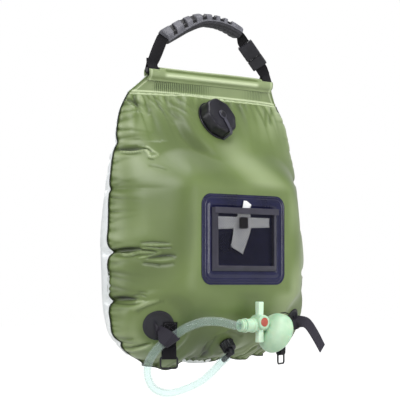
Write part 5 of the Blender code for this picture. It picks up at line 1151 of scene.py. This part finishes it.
def makePouch():
    wide, high = pouch["frame"]
    tape, mid = pouch["tape"], pocket["z"]
    # patch: rounded loops drawn in from the edge, each at the height of the weld's profile
    loops = []
    for inset, height in np.array(pouch["weld"]) * mm:
        loop = roundedLoop(pocket["halfWidth"] - inset, pocket["halfHeight"] - inset,
                           max(pocket["corner"] - 0.8 * inset, 0.004), 12)
        wave = 0.00018 * np.sin(loop[:, 0] / 0.0061) * np.sin(loop[:, 1] / 0.0073) * (height > 0.0004)
        loops.append(onPouch(loop[:, 0], loop[:, 1] + mid, height + wave))
    addTube("pocketPatch", loops, navyVinyl, "bag", "navy_vinyl", ("pocket_patch",), angle=50)
    # frame tape: a band that slopes up from the patch to the net's edge, mitred at its two lower corners
    c = tape / 2
    path = [(-wide + c, high), (-wide + c, 0.0), (-wide + c, -high + c), (0.0, -high + c), (wide - c, -high + c),
            (wide - c, 0.0), (wide - c, high)]
    inward = [(1, 0), (1, 0), (1, 1), (0, 1), (-1, 1), (-1, 0), (-1, 0)]
    low, up = 0.0010, pouch["rise"]
    section = np.array([(-c, low), (-c, low + 0.0016), (-c + 0.0012, low + 0.0026), (c - 0.0030, up + 0.0010),
                        (c - 0.0008, up + 0.0015), (c, up + 0.0009), (c, up - 0.0002), (c - 0.0006, low)])
    rings = [[onPouch(x + i * a, mid + z + k * a, h) for a, h in section] for (x, z), (i, k) in zip(path, inward)]
    uv = np.stack(np.broadcast_arrays(section[None, :, 0], np.arange(7.0)[:, None] * 0.05), -1)
    addTube("pocketFrame", rings, tapeCloth, "bag", "black_webbing", ("pocket_frame",), uv=uv, angle=35)
    # mouth tape, bowed a little forward between its sewn ends
    x = np.linspace(-wide, wide, 60)
    bow = pouch["bow"] * np.cos(x / wide * math.pi / 2) + 0.0003 * np.sin(x / 0.011)
    path = onPouch(x, mid + high - pouch["mouthDrop"], pouch["rise"] + 0.0034 + bow)
    addBand("mouthTape", path, upward, None, pouch["mouth"], tapeCloth, "bag", "black_webbing",
            ("pocket_mouth_tape",))
    # net: two crossing sets of straight strands at 45 degrees, bowed with the pocket
    left, right = -wide + tape - pouch["tuck"], wide - tape + pouch["tuck"]
    base, roof = -high + tape - pouch["tuck"], high - 0.0030
    flat, thick = pouch["strand"]
    pieces = []
    for sign in (-1, 1):
        for start in np.arange(base - (right - left), roof, pouch["pitch"] * math.sqrt(2)):
            t = np.linspace(0, right - left, 26)
            z = start + t
            keep = (z >= base) & (z <= roof)
            if keep.sum() < 2:
                continue
            t = np.linspace(t[keep][0], t[keep][-1], max(2, int(keep.sum())))
            x, z = (left + t if sign > 0 else right - t), start + t
            lift = pouch["netLevel"] + pouch["netBow"] * np.cos(x / wide * math.pi / 2)
            lift += sign * pouch["strandGap"]
            path = onPouch(x, z + mid, lift)
            side = unit(np.array((1.0, 0.0, -sign))) * flat
            front = -backward * thick
            rings = path[:, None] + np.array([side, front, -side, -front])[None]
            pieces.append((rings, tubeFaces(len(path), 4)))
    points, faces = joined(pieces)
    addPiece("pocketNet", points, faces, netYarn, "bag", "black_net", ("pocket_net",), angle=80)
    # hook-and-loop square that shuts the mouth
    tab = pouch["closure"]
    loop = roundedLoop(*tab["half"], tab["corner"], 4)
    rings = [onPouch(tab["x"] + loop[:, 0] * s, tab["z"] + loop[:, 1] * s, h)
             for s, h in ((1.0, 0.0086), (1.0, 0.0094), (1 - 0.0006 * 60, 0.0099))]
    addTube("pocketClosure", rings, webbing, "bag", "black_webbing", ("pocket_closure",),
            uv=np.tile(loop, (3, 1, 1)))


def flatSheet(name, lefts, rights, columns, rows, level, curl, replaces):
    # a sheet ruled between a left and a right edge, each given from the top down in millimetres, and bent by curl
    v = np.linspace(0, 1, rows)
    edges = [np.column_stack([np.interp(v, np.linspace(0, 1, len(e)), axis) for axis in np.array(e).T]) * mm
             for e in (lefts, rights)]
    u = np.linspace(0, 1, columns)[None, :, None]
    flatXZ = (1 - u) * edges[0][:, None] + u * edges[1][:, None]
    bend = level + curl * np.sin(math.pi * u[..., 0]) * v[:, None] + 0.0004 * np.sin(v * 9)[:, None]
    points = onPouch(flatXZ[..., 0], flatXZ[..., 1], bend)
    piece = addPiece(name, points, gridFaces(rows, columns), paleCloth, "bag", "pale_cloth", replaces,
                     closed=False)
    addFilm(piece, 0.0003)


makePouch()
flatSheet("pocketStrip", ((-57, -330), (-56, -350.6)), ((51, -330.6), (51.5, -345.6)), 40, 8, 0.0026, 0.0004,
          ("pocket_strip",))
flatSheet("pocketTag",
          ((-2.9, -303.5), (-4.4, -309), (-5.6, -314.6), (-12.4, -317.4), (-17, -332), (-24.1, -350.6),
           (-27.3, -365), (-30.1, -378.3)),
          ((3.2, -303.8), (12.7, -309.8), (11.3, -313), (10, -317.2), (12, -333), (11.8, -349.8), (3.6, -369.9),
           (-5.2, -390)), 10, 64, 0.0034, 0.0010, ("pocket_tag",))
print("pocket")

side = {
    "radius": 0.0250, "thick": 0.0010, "tabHalf": 0.0115, "tabThick": 0.0007, "inset": 0.0185, "above": 0.0060,
    "below": 0.0320, "drop": 0.0500, "bar": 0.0030, "gap": 0.0003, "standoff": 0.0030, "ring": (0.0135, 0.0180),
    "ringCorner": 0.0042, "wireSides": 14, "play": 0.0006, "strapHalf": 0.0125, "strapThick": 0.0008,
    # the stitched box on the tab: above and below the patch's middle, and its half width
    "stitched": (0.0045, 0.0095, 0.0088),
}


def makeSide(label, seat):
    # a welded round patch, a webbing tab folded round the ring's top bar, its stitched box, and the ring
    n, axes, origin = seat["normal"], axesAt(seat["normal"]), seat["outer"]
    r, thick = side["radius"], side["thick"]
    turnedPiece(label + "Patch", [
        (0.0, thick), (0.0150, thick), (0.0200, thick), (0.0210, thick + 0.0004), (0.0226, thick + 0.0005),
        (0.0236, thick + 0.0001), (0.0246, thick - 0.0002), (r, 0.0005), (r - 0.0001, 0.0), (0.0, 0.0)],
        axes, origin, patchVinyl, "bag", "black_webbing", (label + "_patch",))
    outward = unit(np.array((n[0], n[1], 0.0)))
    sideways = np.cross(upward, outward)
    base = origin - sideways * math.copysign(side["inset"], origin[0])
    face = np.array((n.dot(outward), n[2]))
    down = np.array((face[1], -face[0]))
    offset = face * (thick + side["gap"] + side["tabThick"])
    top, low = offset - down * side["above"], offset + down * side["below"]
    loop = side["bar"] * math.sqrt(0.5) + side["play"] + side["tabThick"]
    bar = np.array((low[0] - loop + side["standoff"], -side["drop"]))
    path = [top, top * 0.5 + low * 0.5, low, (bar[0] + loop, low[1] - side["above"]),
            *(bar + loop * arc(0, -180, 12)), (bar[0] - loop, bar[1] + 3 * loop)]
    addBand(label + "Tab", [base + outward * x + upward * z for x, z in path], sideways, 90,
            (side["tabHalf"], side["tabThick"]), webbing, "bag", "black_webbing", (label + "_tab",))
    lift = face * (side["tabThick"] + 0.0001)
    high, low, reach = side["stitched"]
    rows = [offset - down * high + lift, offset + down * low + lift]
    corners = [base + outward * p[0] + upward * p[1] + sideways * s for p, s in
               ((rows[0], -reach), (rows[0], reach), (rows[1], reach), (rows[1], -reach))]
    addStitches(label + "Stitches", "bag", [(corners, n)])
    # ring: a round wire bent to a rectangle that hangs from its top bar
    half, height = side["ring"]
    pivot = base + outward * bar[0] + upward * bar[1]
    loop = roundedLoop(half, height / 2, side["ringCorner"], 9) - (0.0, height / 2)
    path = pivot + loop[:, :1] * sideways + loop[:, 1:] * upward
    ahead = unit(np.roll(path, -1, axis=0) - np.roll(path, 1, axis=0))
    wire = circle(side["wireSides"]) * side["bar"] / 2
    rings = sweep(path, np.cross(ahead, outward), np.tile(outward, (len(path), 1)), wire)
    addPiece(label + "Ring", rings, gridFaces(*rings.shape[:2], True, True), blackPlastic, label + "_ring_body",
             "black_plastic", (label + "_ring",))


# Black PVC of the round patches: calendered, half gloss, over a woven base
patchVinyl = makeFinish("calenderedPvcPatch", "#131319", 0.40, "#14141a", "#202028", 0.03, 0.0008, 0.0001, 0.6)
makeSide("left", seats["left"])
makeSide("right", seats["right"])

straps = {
    # where the strap crosses the hose, the hose's own direction there, and the way out from the bag
    "hose": (-0.12761, -0.05152, -0.52659), "ahead": (0.5623, -0.6019, 0.5663),
    "lift": (-0.46654, -0.79427, -0.3892), "across": -0.0247, "level": -0.00682, "radius": 0.0094,
    "slide": (-0.0046, 0.0064), "slideOver": 0.026, "slant": 0.85, "slantShare": 0.45, "narrowing": 0.35,
    # the free strap's middle line from its root, and where its width points along it
    "free": ((0.0, 0.0, 0.0), (0.0090, 0.0045, 0.0005), (0.0180, 0.0025, 0.0025), (0.0305, -0.0050, -0.0005),
             (0.0435, -0.0095, -0.0180), (0.0615, -0.0100, -0.0440)),
    "leans": ((0.0, -0.42, 1.0), (0.16, 0.10, 0.95), (0.50, 0.40, 0.76), (0.88, 0.22, 0.40), (0.88, 0.29, 0.35),
              (0.88, 0.35, 0.31)),
}


def makeStraps():
    # left: flat on the patch, then round the hose; right: free, drooping, turning its face as it falls
    at, lift = np.array(straps["hose"]), unit(straps["lift"])
    along = unit(straps["ahead"])
    away = np.cross(along, lift)
    start, level = straps["across"], straps["level"]
    flat = [(start, level), (start + 0.003, level), (start + 0.006, level)]
    route = np.array([*flat, *(straps["radius"] * arc(120, -10, 14))])
    # it lies askew: its root is shifted along the hose, and cut at a slant
    first, last = straps["slide"]
    slide = first + (last - first) * softStep((route[:, 0] - start) / straps["slideOver"])
    points = at + away * route[:, :1] + lift * route[:, 1:] + along * slide[:, None]
    stations, size = 90, (side["strapHalf"], side["strapThick"])
    slant = (1 - softStep(np.linspace(0, 1, stations) / straps["slantShare"]))[:, None]
    addBand("leftStrap", points, along, stations, size, greyWebbing, "bag", "black_webbing", ("left_strap",),
            (1 - straps["narrowing"] * slant, slant * straps["slant"]))
    seat = seats["right"]
    root = seat["outer"] + seat["normal"] * (side["thick"] + side["gap"] + side["strapThick"])
    points = root + np.array(straps["free"])
    ahead = unit(np.gradient(points, axis=0))
    addBand("rightStrap", points, squareTo(np.array(straps["leans"]), ahead), 110, size, greyWebbing,
            "right_strap_body", "black_webbing", ("right_strap",))


makeStraps()
print("side patches")

outlet = {"at": (-0.004, -0.04615, -0.53325), "normal": (-0.00081, -0.68472, -0.7288),
          "knurls": (14, 0.10, 0.0108, 0.0114)}


def makeOutlet():
    # union nut with fourteen knurls, turned on the outlet's normal
    axes, origin = axesAt(outlet["normal"]), np.array(outlet["at"])
    turnedPiece("outletNut", [
        (0.0061, 0.0145), (0.0098, 0.0145), (0.0108, 0.0142), (0.0114, 0.0133), (0.0115, 0.0120), (0.0115, 0.0034),
        (0.0118, 0.0028), (0.0121, 0.0022), (0.0121, 0.0008), (0.0117, 0.0003), (0.0076, 0.0003), (0.0076, 0.0115),
        (0.0061, 0.0115)], axes, origin, blackPlastic, "bag", "black_plastic", ("outlet_nut",), steps=168,
        ring=True, lobes=outlet["knurls"])


makeOutlet()

head = {"at": (-0.0273, -0.1088, -0.5035), "lift": 0.0050, "gateAt": 0.0418, "neckEnd": 0.0535, "tilt": 27.0,
        "rose": 0.0334, "depth": 0.0245, "wall": 0.0020, "lip": 0.0100, "start": 0.0561, "drop": 0.0030,
        "fullness": 0.66, "bore": 0.0036, "neck": 0.0072,
        # rings of jets: how many, at what radius; and each jet's radius and depth
        "jets": ((6, 0.0055), (12, 0.0110), (18, 0.0165), (24, 0.0220)), "jet": (0.0006, 0.0006)}


# Natural polypropylene tinted mint: light goes a few millimetres in, the surface is satin
mintPlastic, paleMint = (
    makeFinish(name, light, 0.36, dark, light, 0.02, 0.0012, 0.00004, 0.3, Subsurface_Weight=0.2,
               Subsurface_Scale=0.003, IOR=1.49)
    for name, dark, light in (("mintPolypropylene", "#a9cbab", "#bbd7ba"),
                              ("paleMintPolypropylene", "#cbe2ca", "#d6ebd4")))
# Opaque moulded ABS, coral red, satin
redPlastic = makeFinish("coralAbs", "#a9503f", 0.33, "#a34b3c", "#b35848", 0.006, 0.0006, 0.00003)


def makeHead():
    # collar, valve body with its cross housing, red plug, dome and spray face are turned; the slide is a bar
    origin, axes, bore = np.array(head["at"]), axesAt((1, 0, 0)), head["bore"]
    turnedPiece("headCollar", [
        (bore, 0.0009), (0.0088, 0.0009), (0.0098, 0.0013), (0.0100, 0.0022), (0.0100, 0.0034), (0.0092, 0.0040),
        (0.0092, 0.0052), (0.0100, 0.0058), (0.0100, 0.0078), (0.0097, 0.0088), (0.0088, 0.0090),
        (bore, 0.0090)], axes, origin, mintPlastic, "bag", "mint_plastic", ("head_collar",), steps=72, ring=True)
    body = turned([
        (bore, 0.0093), (0.0106, 0.0093), (0.0115, 0.0099), (0.0115, 0.0128), (0.0107, 0.0136), (0.0105, 0.0180),
        (0.0107, 0.0238), (0.0115, 0.0246), (0.0115, 0.0290), (0.0110, 0.0300), (0.0093, 0.0316), (0.0090, 0.0330),
        (0.0090, head["neckEnd"]), (bore, head["neckEnd"])], axes, origin, 72)
    housing = origin + np.array((head["gateAt"], 0.0, head["lift"]))
    cross = turned([(0.0, 0.0125), (0.0066, 0.0125), (0.0078, 0.0129), (0.0092, 0.0129), (0.0104, 0.0125),
                    (0.0112, 0.0117), (0.0115, 0.0105), (0.0115, -0.0105), (0.0110, -0.0119), (0.0095, -0.0125),
                    (0.0, -0.0125)], axesAt((0, -1, 0)), housing, 72)
    points, faces = joined([(body, gridFaces(*body.shape[:2], True, True)),
                            (cross, gridFaces(*cross.shape[:2], False, True))])
    addPiece("headBody", points, faces, mintPlastic, "bag", "mint_plastic", ("head_body",))
    turnedPiece("headPlug", [
        (0.0, 0.0139), (0.0040, 0.0138), (0.0062, 0.0135), (0.0072, 0.0129), (0.0076, 0.0122), (0.0076, 0.0100),
        (0.0, 0.0100)], axesAt((0, -1, 0)), housing, redPlastic, "bag", "red_plastic", ("head_plug",))
    # the slide: rounded sections up its length, a little wider at both ends
    z = np.array([-32.5, -32.3, -31.6, -30.0, -20, -12, 0, 12, 20, 30.0, 31.6, 32.3, 32.5]) * mm
    trim = np.array([0.80, 0.92, 0.98, 1.0, 0.97, 0.93, 0.93, 0.93, 0.97, 1.0, 0.98, 0.92, 0.80])
    loop = roundedLoop(0.0053, 0.0050, 0.0014, 5)
    rings = np.stack([np.column_stack([loop * s, np.full(len(loop), h)]) for s, h in zip(trim, z)])
    addTube("headSlide", housing + rings, paleMint, "gate", "mint_plastic", ("head_gate",))
    # dome: r = rose * sin(a) ^ fullness, h = depth * (1 - cos(a)), with a rim that holds the spray face
    tilt = math.radians(head["tilt"])
    down, centre = axesAt((math.cos(tilt), 0.0, -math.sin(tilt))), origin + (head["start"], 0, -head["drop"])
    wall = head["wall"]
    a = np.linspace(math.asin((head["neck"] / head["rose"]) ** (1 / head["fullness"])), math.pi / 2, 26)
    shell = np.column_stack([head["rose"] * np.sin(a) ** head["fullness"],
                             head["depth"] * (np.cos(a[0]) - np.cos(a))])
    depth, lip = shell[-1][1], head["lip"]
    inner = np.column_stack([np.maximum(shell[:, 0] - wall, bore), shell[:, 1] + wall * np.cos(a) ** 2])
    # the lip turns in round the face: r = rose - lip * (1 - cos(b)), h = depth + lip * sin(b)
    b = np.radians(np.linspace(66, 6, 9))
    outer = np.column_stack([head["rose"] - lip * (1 - np.cos(b)), depth + lip * np.sin(b)])
    mouth, r = outer[0, 1], outer[0, 0]
    rim = [(r - wall, mouth - 0.0030), (r - wall, mouth - 0.0005), (r - wall + 0.0006, mouth + 0.0001)]
    profile = np.vstack([inner, rim, outer, shell[::-1], [(bore, 0.0)]])
    turnedPiece("headDome", profile, down, centre, mintPlastic, "bag", "mint_plastic", ("head_rose",), steps=112,
                ring=True)
    # spray face: a slightly crowned disc with four rings of jets
    low = r - wall - 0.0003
    turnedPiece("sprayFace", [
        (0.0, mouth - 0.0003), (0.012, mouth - 0.0005), (0.022, mouth - 0.0010), (low, mouth - 0.0018),
        (low, mouth - 0.0040), (0.0, mouth - 0.0040)], down, centre, paleMint, "bag", "mint_plastic",
        ("rose_face",), steps=96)
    # the jets are short black plugs set into the face: painted shade standing in for open holes
    jetShadows = []
    hole, deep = head["jet"]
    for count, radius in head["jets"]:
        level = mouth - 0.0003 - 0.0007 * (radius / 0.022) ** 2
        top = level + 0.0001
        for angle in np.arange(count) * 2 * math.pi / count:
            at = centre + radius * (math.cos(angle) * down[0] + math.sin(angle) * down[1])
            dot = turned([(0.0, top), (hole, top), (hole, level - deep), (0.0, level - deep)], down, at, 10)
            jetShadows.append((dot, gridFaces(*dot.shape[:2], False, True)))
    points, faces = joined(jetShadows)
    addPiece("paintedJetShadows", points, faces, blackThread, "bag", "mint_plastic")


makeHead()


def dress(material, *names):
    # a CAD solid keeps its shape and takes the scene's material
    for name in names:
        nodes[name].data.materials.clear()
        nodes[name].data.materials.append(material)


dress(blackPlastic, "outlet_elbow", "outlet_spigot", "buckle_socket", "buckle_plug", "buckle_prong_left",
      "buckle_prong_right")
# Nitrile of the seals, and the glass-fibre rod: plain dark finishes that hardly show
dress(makeFinish("nitrileSeal", "#1c1c1e", 0.7, "#1c1c1e", "#262628", 0.01, 0.0006, 0.00004), "fill_gasket",
      "outlet_gasket", "rose_gasket", "gate_seal_in", "gate_seal_out")
dress(makeFinish("glassFibreRod", "#2a2a2b", 0.5, "#2a2a2b", "#3a3a3b", 0.01, 0.0006, 0.00004), "hem_rod")
print("outlet and head")


studio = {"half": 6.0, "level": -0.70, "glow": 0.84, "sky": "#f2f4f7", "skyStrength": 0.36}


def makeStudio():
    # a world that is white to the camera and through the hose, and a pale floor that glows to the camera, so that
    # it shows white and still takes the shadow
    world = bpy.data.worlds.new("studio")
    scene.world = world
    world.use_nodes = True
    tree = world.node_tree
    tree.nodes.clear()
    path = addNode(tree, "LightPath")
    seen = addNode(tree, "Math", None, {0: path.outputs["Is Camera Ray"], 1: path.outputs["Is Transmission Ray"]},
                   operation="MAXIMUM")
    soft = addNode(tree, "Background", {"Color": linear(studio["sky"]), "Strength": studio["skyStrength"]})
    white = addNode(tree, "Background", {"Color": (1, 1, 1, 1), "Strength": 1.0})
    both = addNode(tree, "MixShader", None, {0: seen.outputs[0], 1: soft.outputs[0], 2: white.outputs[0]})
    addNode(tree, "OutputWorld", None, {"Surface": both.outputs[0]})

    material, tree, shader = startMaterial("paintedStudioFloor", "#f4f4f2", 0.9)
    mottled(tree, shader, "#c6c6c4", "#cdcdcb", 0.8, 0.01, 0.0001)
    ray = addNode(tree, "LightPath")
    glow = addNode(tree, "Math", {1: studio["glow"]}, {0: ray.outputs["Is Camera Ray"]}, operation="MULTIPLY")
    tree.links.new(glow.outputs[0], shader.inputs["Emission Strength"])
    shader.inputs["Emission Color"].default_value = (1, 1, 1, 1)
    half, level = studio["half"], studio["level"]
    mesh = bpy.data.meshes.new("floor")
    mesh.from_pydata([(-half, -half, level), (half, -half, level), (half, half, level), (-half, half, level)], [],
                     [(0, 1, 2, 3)])
    mesh.materials.append(material)
    floor = bpy.data.objects.new("floor", mesh)
    scene.collection.objects.link(floor)


lamps = {
    "key": {"at": (-1.9, -1.6, 1.1), "size": 1.6, "watts": 40.0},
    "fill": {"at": (1.7, -2.0, 0.5), "size": 2.0, "watts": 45.0, "shine": False},
    "strip": {"at": (0.62, -2.35, -0.30), "size": 0.34, "tall": 1.5, "watts": 9.0},
    "top": {"at": (0.2, -0.4, 1.9), "size": 1.6, "watts": 26.0},
    "left": {"at": (-2.2, 0.8, 0.0), "size": 1.4, "watts": 16.0},
    "rear": {"at": (0.6, 2.0, 0.8), "size": 1.8, "watts": 16.0},
}


def makeLamps():
    # each lamp faces a point 0.3 m below the handle
    for name, lamp in lamps.items():
        data = bpy.data.lights.new(name, "AREA")
        data.shape = "RECTANGLE" if "tall" in lamp else "DISK"
        data.size, data.energy = lamp["size"], lamp["watts"]
        data.size_y = lamp.get("tall", lamp["size"])
        obj = bpy.data.objects.new(name, data)
        scene.collection.objects.link(obj)
        obj.visible_glossy = lamp.get("shine", True)
        z = -unit(np.array([0, 0, -0.3]) - np.array(lamp["at"]))
        x = unit(np.cross((0, 0, 1), z))
        rows = np.array([x, np.cross(z, x), z]).T
        obj.matrix_world = placed(rows, lamp["at"])


makeStudio()
makeLamps()
print("floor and lamps")
